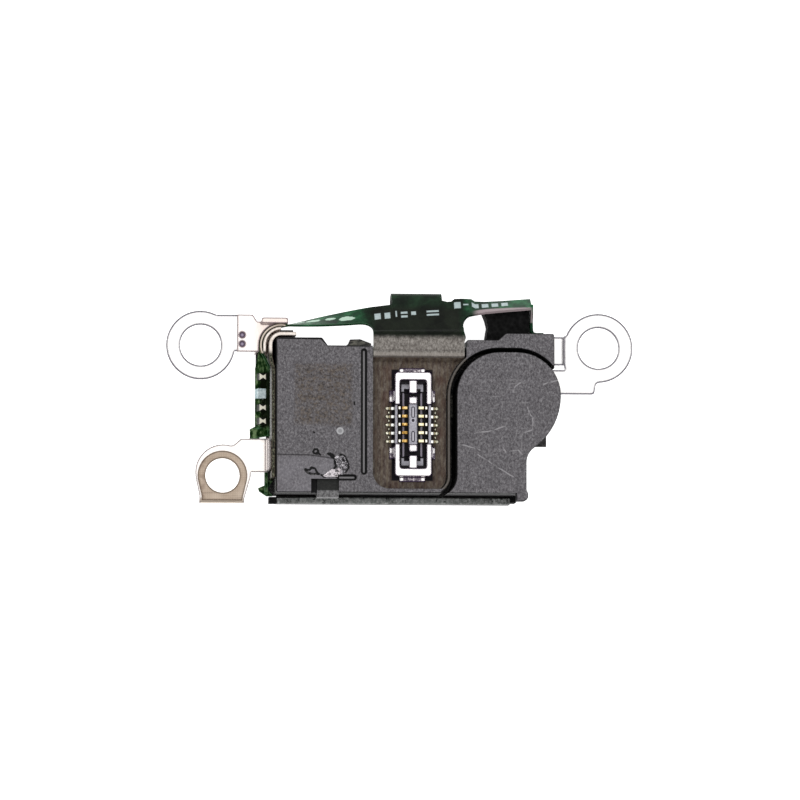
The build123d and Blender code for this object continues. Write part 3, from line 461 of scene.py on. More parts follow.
def bracket_look():
    """Spot-welded bracket: bright with a faint warm tint, and a heat stain round each weld."""
    look = Look("bracket_steel", roughness=0.3, metallic=0.9)
    lines = look.noise(4.0, 3.0, 0.6, at=(9.0, 1.0, 1.0))
    look.colour = lines.ramp((0.25, (238, 226, 222)), (0.7, (255, 250, 247)))
    look.coat(look.nearest(WELDS).rise(0.20, 0.12), (150, 138, 146), 0.7)
    look.coat(look.x.rise(-6.35, -5.85), (226, 208, 196), 0.6)
    look.coat(look.z.rise(1.45, 1.30), (150, 128, 104), 0.55)
    # painted shade: darker along the edges
    look.coat(look.edge(0.13), (116, 102, 104))
    return look.done(lines, 0.002, 0.3)


def weld_look():
    look = Look("weld_metal", roughness=0.35, metallic=0.85)
    rings = look.nearest(WELDS) * 8.0
    look.colour = rings.ramp((0.15, (150, 140, 158)), (0.6, (92, 80, 98)), (0.95, (60, 48, 60)))
    return look.done(look.noise(14.0), 0.01, 0.5)


def tape_pad_look():
    """Conductive fabric tape on the lower ear: matte beige, a fine weave, bruised at the left."""
    look = Look("conductive_tape", roughness=0.75, metallic=0.25)
    weave = look.waves(3.2, 0.6) * look.waves(3.2, 0.6, "Y")
    clouds = look.noise(1.6, 3.0, 0.6)
    look.colour = clouds.ramp((0.30, (178, 158, 138)), (0.7, (206, 188, 170)))
    folds = look.noise(1.6, 2.0, 0.6, at=(0.35, 9.0, 1.0)).rise(0.52, 0.62)
    look.coat(folds * look.y.rise(-3.9, -4.1) * clouds.scaled(0.2, 0.9), (124, 104, 88))
    look.coat(weave, (238, 222, 204), 0.25)
    bruise = look.x.rise(-8.15, -8.35) * look.noise(2.4, 3.0).rise(0.40, 0.60)
    look.coat(bruise, (150, 128, 112), 0.7)
    # painted shade: a dark outline along the edges
    look.coat(look.edge(0.15), (100, 84, 70), 0.85)
    return look.done(weave, 0.004, 0.5)


def lower_ear_look():
    """Bright at the root, beige-grey where the ear bends down at its foot: painted shade on the bend."""
    look = Look("lower_ear_steel", roughness=0.3, metallic=0.9)
    lines = look.noise(3.5, 3.0, 0.6, at=(1.0, 9.0, 1.0))
    bright = lines.ramp((0.25, (240, 230, 224)), (0.7, (255, 251, 248)))
    foot_shade = lines.ramp((0.25, (164, 150, 136)), (0.7, (196, 182, 166)))
    look.colour = look.mix(look.y.rise(-4.25, -4.38), bright, foot_shade)
    # painted shade: darker along the edges
    look.coat(look.edge(0.13), (122, 114, 114))
    return look.done(lines, 0.002, 0.3)


# ------------------------------------------------------------------ connector


def plug_places(look):
    """Distances from the connector's middle lines, and the height above its film."""
    return abs(look.x - PLUG_X), abs(look.y - PLUG_Y), look.z - PLUG_Z


def insulator_look():
    """Black resin whose upper faces are coloured a lilac grey."""
    look = Look("insulator_resin", roughness=0.42, gloss=0.12)
    grain = look.noise(14.0, 2.0, 0.6)
    away_x, away_y, height = plug_places(look)
    black = grain.ramp((0.3, (8, 5, 10)), (0.7, (22, 16, 24)))
    lilac = grain.ramp((0.3, (146, 144, 154)), (0.7, (192, 190, 198)))
    rails = away_x.rise(0.335, 0.35) * away_x.rise(0.425, 0.41) * away_y.rise(1.36, 1.33)
    look.colour = look.mix(rails * 0.75, black, (186, 178, 194))
    ledge = away_y.rise(1.40, 1.43) * away_y.rise(1.74, 1.70) * away_x.rise(0.47, 0.45)
    look.coat(ledge, (206, 204, 214), 0.9)
    look.coat(height.rise(0.42, 0.45), lilac)
    look.coat(look.edge(0.035), (48, 42, 54), 0.6)
    # moulded recesses of the middle bar: two long windows and a dot between them
    top = height.rise(0.46, 0.48)
    for low, high in ((-0.68, -0.36), (0.34, 0.68)):
        ring = look.nearest([[(PLUG_X, PLUG_Y + low), (PLUG_X, PLUG_Y + high)]])
        look.coat(ring.rise(0.085, 0.065) * top, (48, 44, 54))
        look.coat(ring.rise(0.040, 0.022) * top, (206, 204, 212))
    dot = look.segment((PLUG_X, PLUG_Y + 0.16), (PLUG_X, PLUG_Y + 0.17))
    look.coat(dot.rise(0.115, 0.095) * top, (196, 194, 204))
    look.coat(dot.rise(0.075, 0.055) * top, (58, 54, 62))
    return look.done(grain, 0.003, 0.4)


def gold_look():
    """Gold-plated contacts: white where the outer bends catch the light, tinned tails."""
    look = Look("gold_contact", roughness=0.22, metallic=1.0)
    wear = look.noise(9.0, 2.0)
    away, _, height = plug_places(look)
    deep = wear.ramp((0.38, (142, 104, 44)), (0.52, (208, 168, 94)), (0.66, (246, 222, 166)))
    pale = wear.ramp((0.35, (232, 216, 164)), (0.65, (254, 248, 220)))
    # painted light: contacts right of the middle are paler, as lit from the right
    look.colour = look.mix(look.x.rise(PLUG_X - 0.1, PLUG_X + 0.1), deep, pale)
    look.coat(away.rise(0.485, 0.50) * height.rise(0.30, 0.36), (255, 252, 240))
    look.coat(away.rise(0.595, 0.61) * away.rise(0.70, 0.68), (30, 20, 24))
    look.coat(height.rise(0.30, 0.15) * away.rise(0.68, 0.62), (30, 18, 22))
    tail = (away - 0.66).ramp(
        (0.07, (26, 20, 22)),
        (0.12, (250, 250, 246)),
        (0.21, (255, 255, 250)),
        (0.25, (60, 52, 40)),
        (0.30, (150, 142, 112)),
    )
    look.coat(away.rise(0.655, 0.665), tail)
    look.coat(look.edge(0.03), (70, 48, 24), 0.6)
    return look.done(wear, 0.003, 0.3)


def plating_look():
    """Bright tin plating on the clips, with dark oxide in the bends, and painted shade along the sheared edges.
    """
    look = Look("bright_plating", roughness=0.2, metallic=1.0)
    grain = look.noise(6.0, 2.0, 0.6, at=(1.0, 3.0, 1.0))
    away_x, away_y, height = plug_places(look)
    look.colour = grain.ramp((0.25, (232, 226, 230)), (0.6, (255, 251, 250)))
    deep = height.rise(0.36, 0.10)
    oxide = look.noise(9.0, 3.0, 0.7).ramp((0.40, (30, 18, 34)), (0.58, (110, 100, 112)), (0.66, (236, 230, 226)))
    look.coat(deep, oxide, 0.95)
    # bright solder at the feet's corners and the tabs' ends
    feet = away_x.rise(0.36, 0.42) * away_y.rise(2.20, 2.24) * away_y.rise(2.38, 2.34)
    ends = away_x.rise(0.83, 0.85) * (away_y.rise(1.62, 1.68) | away_y.rise(1.22, 1.16))
    look.coat(feet | ends, (255, 252, 250))
    # painted shade: dark along the edges
    look.coat(look.edge(0.11), (40, 28, 48))
    look.rough(look.noise(9.0), 0.14, 0.34)
    return look.done(grain, 0.002, 0.3)


def solder_look():
    look = Look("solder", roughness=0.25, metallic=1.0)
    grain = look.noise(16.0, 3.0, 0.6)
    look.colour = grain.ramp((0.3, (176, 174, 160)), (0.55, (226, 226, 220)), (0.8, (255, 255, 252)))
    return look.done(grain, 0.006, 0.6)


# ------------------------------------------------------------------ chips and films


def chip_body_look():
    """Ceramic chip bodies: near black, except for the big pale capacitor."""
    look = Look("chip_ceramic", roughness=0.4, gloss=0.2)
    grain = look.noise(12.0, 2.0)
    dark = grain.ramp((0.3, (16, 20, 14)), (0.7, (34, 34, 26)))
    pale = grain.ramp((0.3, (134, 160, 168)), (0.7, (184, 204, 208)))
    look.colour = look.mix(big_chip(look), dark, pale)
    # painted highlight across the middle of each small chip
    waist = chip_waist(look) * look.x.rise(-6.00, -5.96) * look.x.rise(-5.69, -5.75)
    look.coat(waist, (232, 214, 200))
    return look.done(grain, 0.003, 0.4)


def big_chip(look):
    return look.y.rise(CHIP_YS[1] - 0.27, CHIP_YS[1] - 0.25) * look.y.rise(CHIP_YS[1] + 0.27, CHIP_YS[1] + 0.25)


def chip_waist(look):
    """1 near the middle line of each small chip, where the light catches it."""
    lines = [[(-7.0, y), (-5.0, y)] for i, y in enumerate(CHIP_YS) if i != 1]
    return look.nearest(lines).rise(0.075, 0.045)


def chip_end_look():
    """Tinned chip ends: a bright bow tie of painted reflection along the middle, dark round it."""
    look = Look("chip_ends", roughness=0.3, gloss=0.1)
    grain = look.noise(12.0, 2.0)
    lines = [[(-7.0, y), (-5.0, y)] for y in CHIP_YS]
    away = look.nearest(lines)
    across = abs(look.x - CHIP_X)
    tie = away - across * 0.65
    look.colour = look.mix(tie.rise(0.055, 0.025), (14, 17, 10), (236, 232, 214))
    look.coat(look.x.rise(-5.75, -5.69), (14, 17, 10))
    look.coat(look.x.rise(-5.96, -6.00), (20, 30, 16))
    look.coat(big_chip(look), grain.ramp((0.3, (150, 168, 172)), (0.7, (214, 226, 228))))
    return look.done(grain, 0.003, 0.4)


def film_look(name, dark, pale, stretch, shine=0.35, outline=0.0):
    """Plain polymer film or adhesive with a slow streaky tint."""
    look = Look(name, roughness=shine, gloss=0.25)
    streaks = look.noise(1.8, 3.0, 0.6, at=stretch)
    look.colour = streaks.ramp((0.36, dark), (0.64, pale))
    if outline:
        look.coat(look.edge(0.14), (18, 16, 16), outline)
    return look.done(look.noise(7.0, 2.0), 0.004, 0.4)


def coil_look():
    """Enamelled copper wire, wound round each coil's own centre."""
    look = Look("copper_wire", roughness=0.25, metallic=1.0)
    low, high = (Vector(c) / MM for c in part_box("rotor_coils"))
    radius = 0.46
    centres = [(low.x + radius, low.y + radius), (low.x + radius, high.y - radius)]
    away = look.nearest([[c, c] for c in centres])
    turns = look.math("SINE", away * (2 * pi / 0.04))
    look.colour = turns.scaled(0.0, 0.5).ramp((0.0, (96, 42, 20)), (1.0, (226, 132, 74)))
    return look.done(turns, 0.01, 0.8)


def inner_metal_look(name, dark, pale, shine):
    """Turned metal of the motor's inside: rings round the shaft."""
    look = Look(name, roughness=shine, metallic=1.0)
    low, high = (Vector(c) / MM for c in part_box("motor_shaft"))
    away = look.spot((low.x + high.x) / 2, (low.y + high.y) / 2)
    rings = look.noise(1.0, 3.0, 0.7, at=look.node("CombineXYZ", {0: away * 18.0}))
    look.colour = rings.ramp((0.3, dark), (0.7, pale))
    return look.done(rings, 0.003, 0.4)


# ------------------------------------------------------------------ flex circuit

STEM_LEFT, STEM_RIGHT = -1.21, 2.63
ROLL_LEFT, ROLL_RIGHT = -0.33, 1.82
ROLL_Y, ROLL_Z, ROLL_R = 4.05, 0.70, 0.40
SHOULDER_Y, SHOULDER_Z = 2.60, 2.36
SLOPE = atan2(SHOULDER_Z - ROLL_Z, ROLL_Y - SHOULDER_Y)
SLOPE -= asin(ROLL_R / hypot(SHOULDER_Z - ROLL_Z, ROLL_Y - SHOULDER_Y))
CORNER_X, CORNER_Y, CORNER_R = -5.08, 2.15, 0.85
# Fillets beside the stem: where each meets the stem's side, and its width along the arm
JOIN_LEFT, JOIN_RIGHT = 2.74, 2.94
FILLET_LEFT, FILLET_RIGHT = 0.60, 0.36
# x, middle y, middle z (None: on the stem's slope), width, tilt from flat
ARMS = [
    (-5.08, 3.00, 1.35, 0.90, 90.0),
    (-4.55, 3.04, 1.36, 0.90, 82.0),
    (-2.95, 3.24, 1.45, 0.90, 58.0),
    (-1.21, 3.46, None, 0.89, None),
    (-0.33, 3.58, None, 0.88, None),
    (1.82, 3.71, None, 0.92, None),
    (2.63, 3.77, None, 0.91, None),
    (3.70, 3.85, 1.42, 0.90, 55.0),
    (5.62, 4.02, 1.30, 0.95, 60.0),
]
PANEL = [
    (1.90, (-5.93, 1.80), (-5.93, 0.90)),
    (1.25, (-5.60, 1.95), (-6.06, 0.55)),
    (-1.26, (-5.60, 1.95), (-6.06, 0.55)),
    (-1.34, (-5.60, 1.95), (-6.27, 0.40)),
    (-1.725, (-5.60, 1.95), (-6.27, 0.40)),
]
TUCK = [
    (-1.60, (-6.05, 0.87), (-6.27, 0.40)),
    (-2.40, (-5.63, 0.87), (-5.63, 0.25)),
    (-4.10, (-5.63, 0.87), (-5.63, 0.25)),
]
WALL_X, WALL_Y = -5.4, 1.95  # left and below these the film is on the left wall
# Middles of the parts on the left wall, from the top
CHIP_X = -5.84
CHIP_YS = (0.80, 0.09, -0.51, -1.08)
CORNER_FLAP = [(-5.36, -3.52), (-5.60, -3.52), (-5.68, -3.72), (-5.97, -3.84)]
CORNER_FLAP += [(-5.93, -3.98), (-5.62, -4.18), (-5.36, -4.18)]
FLAP_Z = 0.60
TAB = (2.205, 2.353, 3.083, 3.22)  # corners of the small tab right of the roll, in x
ACROSS = 10  # quads across a strip


def slope_z(y):
    return SHOULDER_Z - (y - SHOULDER_Y) * tan(SLOPE)


def steps(low, high, count):
    return [low + (high - low) * i / count for i in range(count + 1)]


def smooth_between(keys, x):
    """Value at x of a smooth line through (x, value) keys."""
    i = max(1, min(len(keys) - 1, next((n for n, k in enumerate(keys) if k[0] >= x), len(keys) - 1)))
    (x0, v0), (x1, v1) = keys[i - 1], keys[i]
    before = keys[i - 2] if i > 1 else keys[i - 1]
    after = keys[i + 1] if i + 1 < len(keys) else keys[i]
    slope0 = (v1 - before[1]) / (x1 - before[0])
    slope1 = (after[1] - v0) / (after[0] - x0)
    width = x1 - x0
    t = (x - x0) / width
    h00, h10 = 2 * t**3 - 3 * t**2 + 1, t**3 - 2 * t**2 + t
    h01, h11 = 3 * t**2 - 2 * t**3, t**3 - t**2
    return h00 * v0 + h10 * width * slope0 + h01 * v1 + h11 * width * slope1


def arm_section(x):
    """Middle (y, z), width and tilt of the arms' strip at x."""
    rows = []
    for a, y, z, width, tilt in ARMS:
        rows.append((a, y, slope_z(y) if z is None else z, width, degrees(SLOPE) if tilt is None else tilt))
    return [smooth_between([(row[0], row[i]) for row in rows], x) for i in (1, 2, 3, 4)]


# Outline of the film's tongue in the pocket
TONGUE_LEFT, TONGUE_RIGHT, TONGUE_LOW = -1.185, 1.915, -3.905
LOBE_X, LOBE_Y, LOBE_R = 4.10, -0.015, 2.185
CORNER_LEFT_R, CORNER_RIGHT_R, CORNER_RIGHT_Y = 0.655, 0.605, -3.41


def join_y(x):
    """Where the arms' strip ends and the stem begins."""
    return JOIN_LEFT + (JOIN_RIGHT - JOIN_LEFT) * (x - STEM_LEFT) / (STEM_RIGHT - STEM_LEFT)


def film_left(y):
    """Left side of the stem and the tongue."""
    centre = TONGUE_LOW + CORNER_LEFT_R
    if y > centre:
        return STEM_LEFT if y > 1.47 else TONGUE_LEFT
    return TONGUE_LEFT + CORNER_LEFT_R - sqrt(max(0.0, CORNER_LEFT_R**2 - (y - centre) ** 2))


def film_right(y):
    """Right side: stem, the arc round the motor, and the tongue's rounded corner."""
    if y > 1.66:
        flare = max(0.0, 1 - abs(y - 2.48) / 0.22)
        return STEM_RIGHT + 0.02 + 0.07 * flare if y < JOIN_RIGHT - 0.02 else STEM_RIGHT
    if y > LOBE_Y:
        return min(STEM_RIGHT, LOBE_X - sqrt(LOBE_R**2 - (y - LOBE_Y) ** 2))
    if y > CORNER_RIGHT_Y:
        return TONGUE_RIGHT
    flat = TONGUE_RIGHT - CORNER_RIGHT_R
    return flat + sqrt(max(0.0, CORNER_RIGHT_R**2 - (y - CORNER_RIGHT_Y) ** 2))


def far_extra(x):
    """Small tab of the strip's far edge right of the roll, and the rest of the roll's tear."""
    tab = max(0.0, min(1.0, (x - TAB[0]) / (TAB[1] - TAB[0]), (TAB[3] - x) / (TAB[3] - TAB[2])))
    return 0.14 * tab + 0.09 * max(0.0, 1 - (x - ROLL_RIGHT) / 0.2) * (x >= ROLL_RIGHT)


def arm_edges(x):
    """Far and near edge points of the strip at x, with the fillets beside the stem."""
    y, z, width, tilt = arm_section(x)
    if STEM_LEFT <= x <= STEM_RIGHT:
        z, tilt = slope_z(y), degrees(SLOPE)
    run_y, run_z = cos(radians(tilt)), -sin(radians(tilt))
    far, near = width / 2 + far_extra(x), -width / 2
    if STEM_LEFT <= x <= STEM_RIGHT:
        near = (join_y(x) - y) / run_y
    else:
        gap, reach, join = x - STEM_RIGHT, FILLET_RIGHT, JOIN_RIGHT
        if x < STEM_LEFT:
            gap, reach, join = STEM_LEFT - x, FILLET_LEFT, JOIN_LEFT
        if gap < reach:
            share = 1 - sqrt(max(0.0, 1 - (1 - gap / reach) ** 2))
            near += ((join - y) / run_y - near) * share
    return Vector((x, y + far * run_y, z + far * run_z)), Vector((x, y + near * run_y, z + near * run_z))


class Sheet:
    """A film built from rows of points, welded where rows meet."""

    def __init__(self):
        self.mesh = bmesh.new()
        self.uv = self.mesh.loops.layers.uv.new("sheet")

    def grid(self, rows, coords):
        """Quads between rows of points; coords are the rows' (u, v) places on the flat film."""
        made = [[self.mesh.verts.new(Vector(p) * MM) for p in row] for row in rows]
        for i in range(len(rows) - 1):
            for j in range(len(rows[i]) - 1):
                corners = [(i, j), (i + 1, j), (i + 1, j + 1), (i, j + 1)]
                face = self.mesh.faces.new([made[a][b] for a, b in corners])
                face.smooth = True
                for loop, (a, b) in zip(face.loops, corners):
                    loop[self.uv].uv = coords[a][b]

    def strip(self, edges, places):
        """Grid between pairs of edge points. places gives each pair's u; v is the width across."""
        rows, coords = [], []
        for (far, near), u in zip(edges, places):
            width = (near - far).length
            rows.append([far.lerp(near, j / ACROSS) for j in range(ACROSS + 1)])
            coords.append([(u, -width * j / ACROSS) for j in range(ACROSS + 1)])
        self.grid(rows, coords)

    def finish(self, name, thickness, look):
        """Welds the film, gives it thickness and turns it into a piece."""
        bmesh.ops.remove_doubles(self.mesh, verts=self.mesh.verts, dist=1e-7)
        bmesh.ops.recalc_face_normals(self.mesh, faces=self.mesh.faces)
        rough = add(name, self.mesh)
        solid = rough.modifiers.new("thickness", "SOLIDIFY")
        solid.thickness, solid.offset = thickness * MM, 0.0
        solid.use_even_offset = True
        graph = bpy.context.evaluated_depsgraph_get()
        final = bpy.data.meshes.new_from_object(rough.evaluated_get(graph))
        rough.modifiers.clear()
        rough.data = final
        final.name = name
        final.set_sharp_from_angle(angle=radians(45))
        final.materials.clear()
        final.materials.append(look.material)
        return rough


def stem_profile():
    """(y, z) of the film's middle from the join, over the shoulder and down to the tongue's end."""
    pocket = POCKET_Z + 1.5 * FLEX_T
    bend_y = SHOULDER_Y - 0.24
    points = [(SHOULDER_Y + 0.10, SHOULDER_Z - 0.050), (SHOULDER_Y, SHOULDER_Z + 0.006)]
    points += [(bend_y + 0.10, SHOULDER_Z + 0.040)]
    points += [(y, SHOULDER_Z + 0.045 + 0.035 * (bend_y - y) / 0.6) for y in steps(bend_y, 1.78, 6)]
    points += [(1.70, 2.42), (1.655, 2.33), (1.58, 2.08), (1.515, 1.87), (1.46, pocket + 0.015)]
    points += [(y, pocket) for y in steps(1.38, LOBE_Y, 9) + steps(LOBE_Y, -3.25, 7)[1:]]
    points += [(-3.25 - (3.25 + TONGUE_LOW) * -sin(a), pocket) for a in steps(0, pi / 2, 9)[1:]]
    return points


def wall_strip(keys, counts, place):
    """Edge points and places of a strip along the left wall, through its keys."""
    path, places = [], []
    for (y0, *ends0), (y1, *ends1), count in zip(keys, keys[1:], counts):
        for share in steps(0, 1, count)[1 if path else 0:]:
            y = y0 + (y1 - y0) * share
            top, low = (Vector(a).lerp(Vector(b), share) for a, b in zip(ends0, ends1))
            path.append((Vector((low.x, y, low.y)), Vector((top.x, y, top.y))))
            places.append(place + y)
    return path, places


def build_flex(look):
    sheet = Sheet()
    # arms and the stem's outer part: columns of one long strip
    columns = set(steps(-5.08, STEM_LEFT - FILLET_LEFT, 26) + steps(STEM_RIGHT + FILLET_RIGHT, 5.62, 20))
    columns.update(STEM_LEFT - FILLET_LEFT * (1 - cos(a)) for a in steps(0, pi / 2, 12))
    columns.update(STEM_RIGHT + FILLET_RIGHT * (1 - cos(a)) for a in steps(0, pi / 2, 10))
    columns.update(TAB)
    stem_xs = steps(STEM_LEFT, ROLL_LEFT, 6) + steps(ROLL_LEFT, ROLL_RIGHT, 14) + steps(ROLL_RIGHT, STEM_RIGHT, 8)
    stem_xs = sorted(set(round(x, 6) for x in stem_xs + list(TAB[:2])))
    columns = sorted(set(round(x, 6) for x in columns) | set(stem_xs))
    sheet.strip([arm_edges(x) for x in columns], columns)
    # stem and tongue: from the arms down over the shoulder and into the pocket
    shares = [(x - STEM_LEFT) / (STEM_RIGHT - STEM_LEFT) for x in stem_xs]
    profile = stem_profile()
    rows = [[(x, join_y(x), slope_z(join_y(x))) for x in stem_xs]]
    for part in (0.35, 0.7):
        rows.append([])
        for x, share in zip(stem_xs, shares):
            y = join_y(x) + (profile[0][0] - join_y(x)) * part
            rows[-1].append((film_left(y) + share * (film_right(y) - film_left(y)), y, slope_z(y)))
    for y, z in profile:
        rows.append([(film_left(y) + share * (film_right(y) - film_left(y)), y, z) for share in shares])
    lengths = [0.0]
    for before, after in zip(rows, rows[1:]):
        lengths.append(lengths[-1] + hypot(after[0][1] - before[0][1], after[0][2] - before[0][2]))
    sheet.grid(rows, [[(x, -1.0 - length) for x in stem_xs] for length in lengths])
    # roll over the upper edge and back underneath
    roll_xs = [x for x in stem_xs if ROLL_LEFT - 1e-6 <= x <= ROLL_RIGHT + 1e-6]
    start = pi / 2 - SLOPE
    rows = [[arm_edges(x)[0] for x in roll_xs]]
    for angle in steps(start, -pi / 2, 14):
        rows.append([(x, ROLL_Y + ROLL_R * cos(angle), ROLL_Z + ROLL_R * sin(angle)) for x in roll_xs])
    for y in steps(ROLL_Y - 0.2, -1.0, 5):
        rows.append([(x, y, ROLL_Z - ROLL_R) for x in roll_xs])
    sheet.grid(rows, [[(x, 0.1 * i) for x in roll_xs] for i in range(len(rows))])
    # round the corner and down the left wall
    path, places = [], []
    for angle in steps(90, 180, 12):
        x, y = CORNER_X + CORNER_R * cos(radians(angle)), CORNER_Y + CORNER_R * sin(radians(angle))
        path.append((Vector((x, y, 0.90)), Vector((x, y, 1.80))))
        places.append(CORNER_X - CORNER_R * radians(angle - 90))
    wall, wall_places = wall_strip(PANEL, (5, 8, 2, 3), CORNER_X - 1.6 - PANEL[0][0])
    sheet.strip(path + wall, places + wall_places)
    # tucked end under the lower ear
    sheet.strip(*wall_strip(TUCK, (6, 6), CORNER_X - 5.0))
    # return leg at the right arm's end, and its glued foot
    leg = [(5.62, 3.98), (5.62, 3.60), (5.60, 3.20), (5.61, 2.86), (5.66, 2.75), (5.78, 2.72), (6.10, 2.72)]
    edges = [(Vector((x, y, 0.92)), Vector((x, y, 1.68))) for x, y in leg]
    sheet.strip(edges, [5.62 + 0.3 * i for i in range(len(leg))])
    # corner flap, a little crumpled
    flap = [(x, y, FLAP_Z + 0.05 * noise.noise((x * 3, y * 3, 0.3))) for x, y in CORNER_FLAP]
    middle = Vector((-5.58, -3.88, FLAP_Z))
    rows = [[Vector(p) for p in flap]]
    for share in (0.3, 0.6, 0.85):
        rows.append([Vector(p).lerp(middle, share) for p in flap])
    sheet.grid(rows, [[(-9.0 + p[0], p[1]) for p in row] for row in rows])
    return sheet.finish("flex_sheet", FLEX_T, look)


MARK_BLOCKS = [
    # u, v, half width, half height: blank printed fields on the stem
    (-0.98, -0.60, 0.13, 0.17),
    (-0.56, -0.62, 0.12, 0.17),
    (-0.18, -0.56, 0.03, 0.17),
    (0.16, -0.52, 0.14, 0.06),
    (0.16, -0.74, 0.14, 0.06),
    (0.56, -0.58, 0.10, 0.10),
    (1.38, -0.52, 0.26, 0.05),
    (1.38, -0.72, 0.26, 0.05),
    (2.46, -0.38, 0.14, 0.18),
    (2.82, -0.36, 0.11, 0.04),
    *((u, -0.36, 0.14, 0.15) for u in (3.22, 3.64, 4.06, 4.48)),
]
# pale smears on the left arm, in the same form
PAINT_SPOTS = [(-2.30, -0.52, 0.34, 0.15), (-2.95, -0.40, 0.22, 0.11)]
PAINT_SPOTS += [(-3.70, -0.36, 0.36, 0.12), (-4.3, -0.30, 0.30, 0.10)]


def flex_look(name, gloss):
    """Flex circuit: green solder mask outside, a grey band of painted reflection on top, brown film in the
    pocket.
    """
    look = Look(name, roughness=0.40, gloss=gloss)
    sheet = look.node("UVMap", {}, uv_map="sheet")
    u, v, _ = look.split(sheet)
    clouds = look.noise(1.6, 3.0, 0.6)
    green = clouds.ramp((0.34, (6, 34, 18)), (0.52, (16, 62, 36)), (0.68, (40, 98, 62)))
    panel = look.noise(3.2, 3.0, 0.6).ramp((0.34, (4, 16, 5)), (0.50, (22, 46, 18)), (0.64, (92, 112, 78)))
    look.colour = look.mix(look.x.rise(-4.3, -5.1), green, panel)
    # painted dark reflection: the stem's slope is coated near-black green
    black_green = clouds.ramp((0.35, (10, 14, 9)), (0.65, (24, 30, 21)))
    on_stem = look.x.rise(-1.9, -1.0) * look.x.rise(3.0, 2.4)
    near = look.y.rise(4.05, 3.65)
    look.coat(on_stem * near.scaled(0.80, 1.0), black_green)
    # right arm: near-black towards the stem, bottle green at its end, and a painted highlight along its near
    # edge, where the film's thickness catches the light
    right = look.x.rise(2.8, 3.0) * look.x.rise(4.6, 3.4)
    look.coat(right, (16, 30, 20), 0.6)
    near_edge_highlight = look.window((None, 3.2, 1.62), (None, 3.85, None), 0.04)
    look.coat(look.x.rise(3.0, 3.4) * look.x.rise(5.75, 5.5) * near_edge_highlight, (166, 150, 154), 0.85)
    # round the corner the film's cut edge is brown, and the wall below is nearly black by the chips
    cut_edge = look.window((None, 1.80, 1.72), (-4.90, None, None), 0.03)
    away = look.spot(CORNER_X, CORNER_Y)
    layers = look.mix(away.rise(CORNER_R - 0.035, CORNER_R - 0.015), (76, 54, 46), (228, 212, 200))
    layers = look.mix(away.rise(CORNER_R + 0.025, CORNER_R + 0.04), layers, (110, 88, 76))
    look.coat(cut_edge, layers)
    # painted reflection: a grey band of reflected light over the edge
    sheen_grain = look.noise(8.0, 4.0, 0.85, at=(1.3, 0.8, 1.0))
    band = sheen_grain.ramp((0.36, (92, 87, 82)), (0.50, (126, 121, 116)), (0.64, (162, 157, 151)))
    on_top = look.window((STEM_LEFT - 0.1, 1.2), (STEM_RIGHT + 0.2, None))
    fade = look.y + look.noise(2.4, 3.0, 0.7).scaled(-0.10, 0.10)
    on_band = fade.rise(2.62, 2.34) * look.z.rise(2.30, 2.38) * on_top
    look.coat(on_band, band)
    dark_line = look.y.rise(1.98, 1.94) * look.y.rise(1.86, 1.90) * on_top
    look.coat(dark_line, (60, 55, 50), 0.30)
    # painted highlight along the crest
    lip = look.y.rise(1.84, 1.80) * look.y.rise(1.66, 1.70) * look.z.rise(2.36, 2.40) * on_top
    look.coat(lip, (176, 168, 160), 0.35)
    # the fall into the pocket, and the brown tongue with its buried traces
    streaks = look.noise(3.2, 4.0, 0.8, at=(1.9, 0.7, 1.0))
    brown = streaks.ramp((0.34, (64, 49, 44)), (0.50, (95, 84, 76)), (0.66, (128, 119, 109)))
    traces = look.waves(1.35, 0.8, detail=1.0)
    brown = look.mix(traces.rise(0.62, 0.86) * 0.26, brown, (126, 112, 92))
    reddish = look.noise(1.1, 2.0).rise(0.50, 0.66)
    brown = look.mix(reddish * 0.30, brown, (84, 52, 44))
    pads = look.window((PLUG_X - 1.05, PLUG_Y - 1.05), (PLUG_X + 1.05, PLUG_Y + 1.05), 0.06)
    brown = look.mix(pads * 0.55, brown, (38, 32, 28))
    # a near-black border round the connector
    connector_border = look.window((PLUG_X - 0.875, PLUG_Y - 2.36), (PLUG_X + 0.875, PLUG_Y + 2.36), 0.025)
    ragged = look.noise(4.0, 3.0, 0.7).rise(0.24, 0.38)
    brown = look.mix(connector_border * ragged, brown, (14, 8, 18))
    in_pocket = look.y.rise(1.74, 1.68) * look.z.rise(2.40, 2.34)
    look.coat(in_pocket * look.window((STEM_LEFT - 0.1,), (STEM_RIGHT + 0.2,)), brown)
    # painted shade on the face that falls into the pocket
    fall = look.z.rise(2.30, 2.36) * look.y.rise(1.72, 1.66) * on_top
    look.coat(fall, (104, 97, 92), 0.55)
    # printed marks: plain blocks
    up = look.upward().rise(0.1, 0.2)
    marks = []
    for mu, mv, half_u, half_v in MARK_BLOCKS:
        marks.append((abs(u - mu) - half_u | abs(v - mv) - half_v).rise(0.02, -0.02))
    white = look.either(marks) * up * look.noise(9.0, 2.0).scaled(0.65, 1.0)
    look.coat(white, (188, 203, 204))
    spots = []
    for mu, mv, half_u, half_v in PAINT_SPOTS:
        du = (u - mu) / half_u
        dv = (v - mv) / half_v
        away = du * du + dv * dv
        spots.append((away + look.noise(5.0, 2.0).scaled(-0.9, 0.9)).rise(1.1, 0.8))
    look.coat(look.either(spots) * up, (178, 204, 186))
    # film edges show the pale core
    rubbed = look.edge(0.06) * look.x.rise(-1.0, -1.6)
    look.coat(rubbed, (96, 140, 104), 0.35)
    by_chips = look.window((-5.93, -1.35, 1.05), (-5.40, 1.00, None), 0.08)
    look.coat(by_chips, (12, 12, 8), 0.88)
    look.rough(clouds, 0.30, 0.50)
    return look.done(look.noise(9.0, 2.0, 0.6), 0.005, 0.5)


# ------------------------------------------------------------------ solder, caps and residue


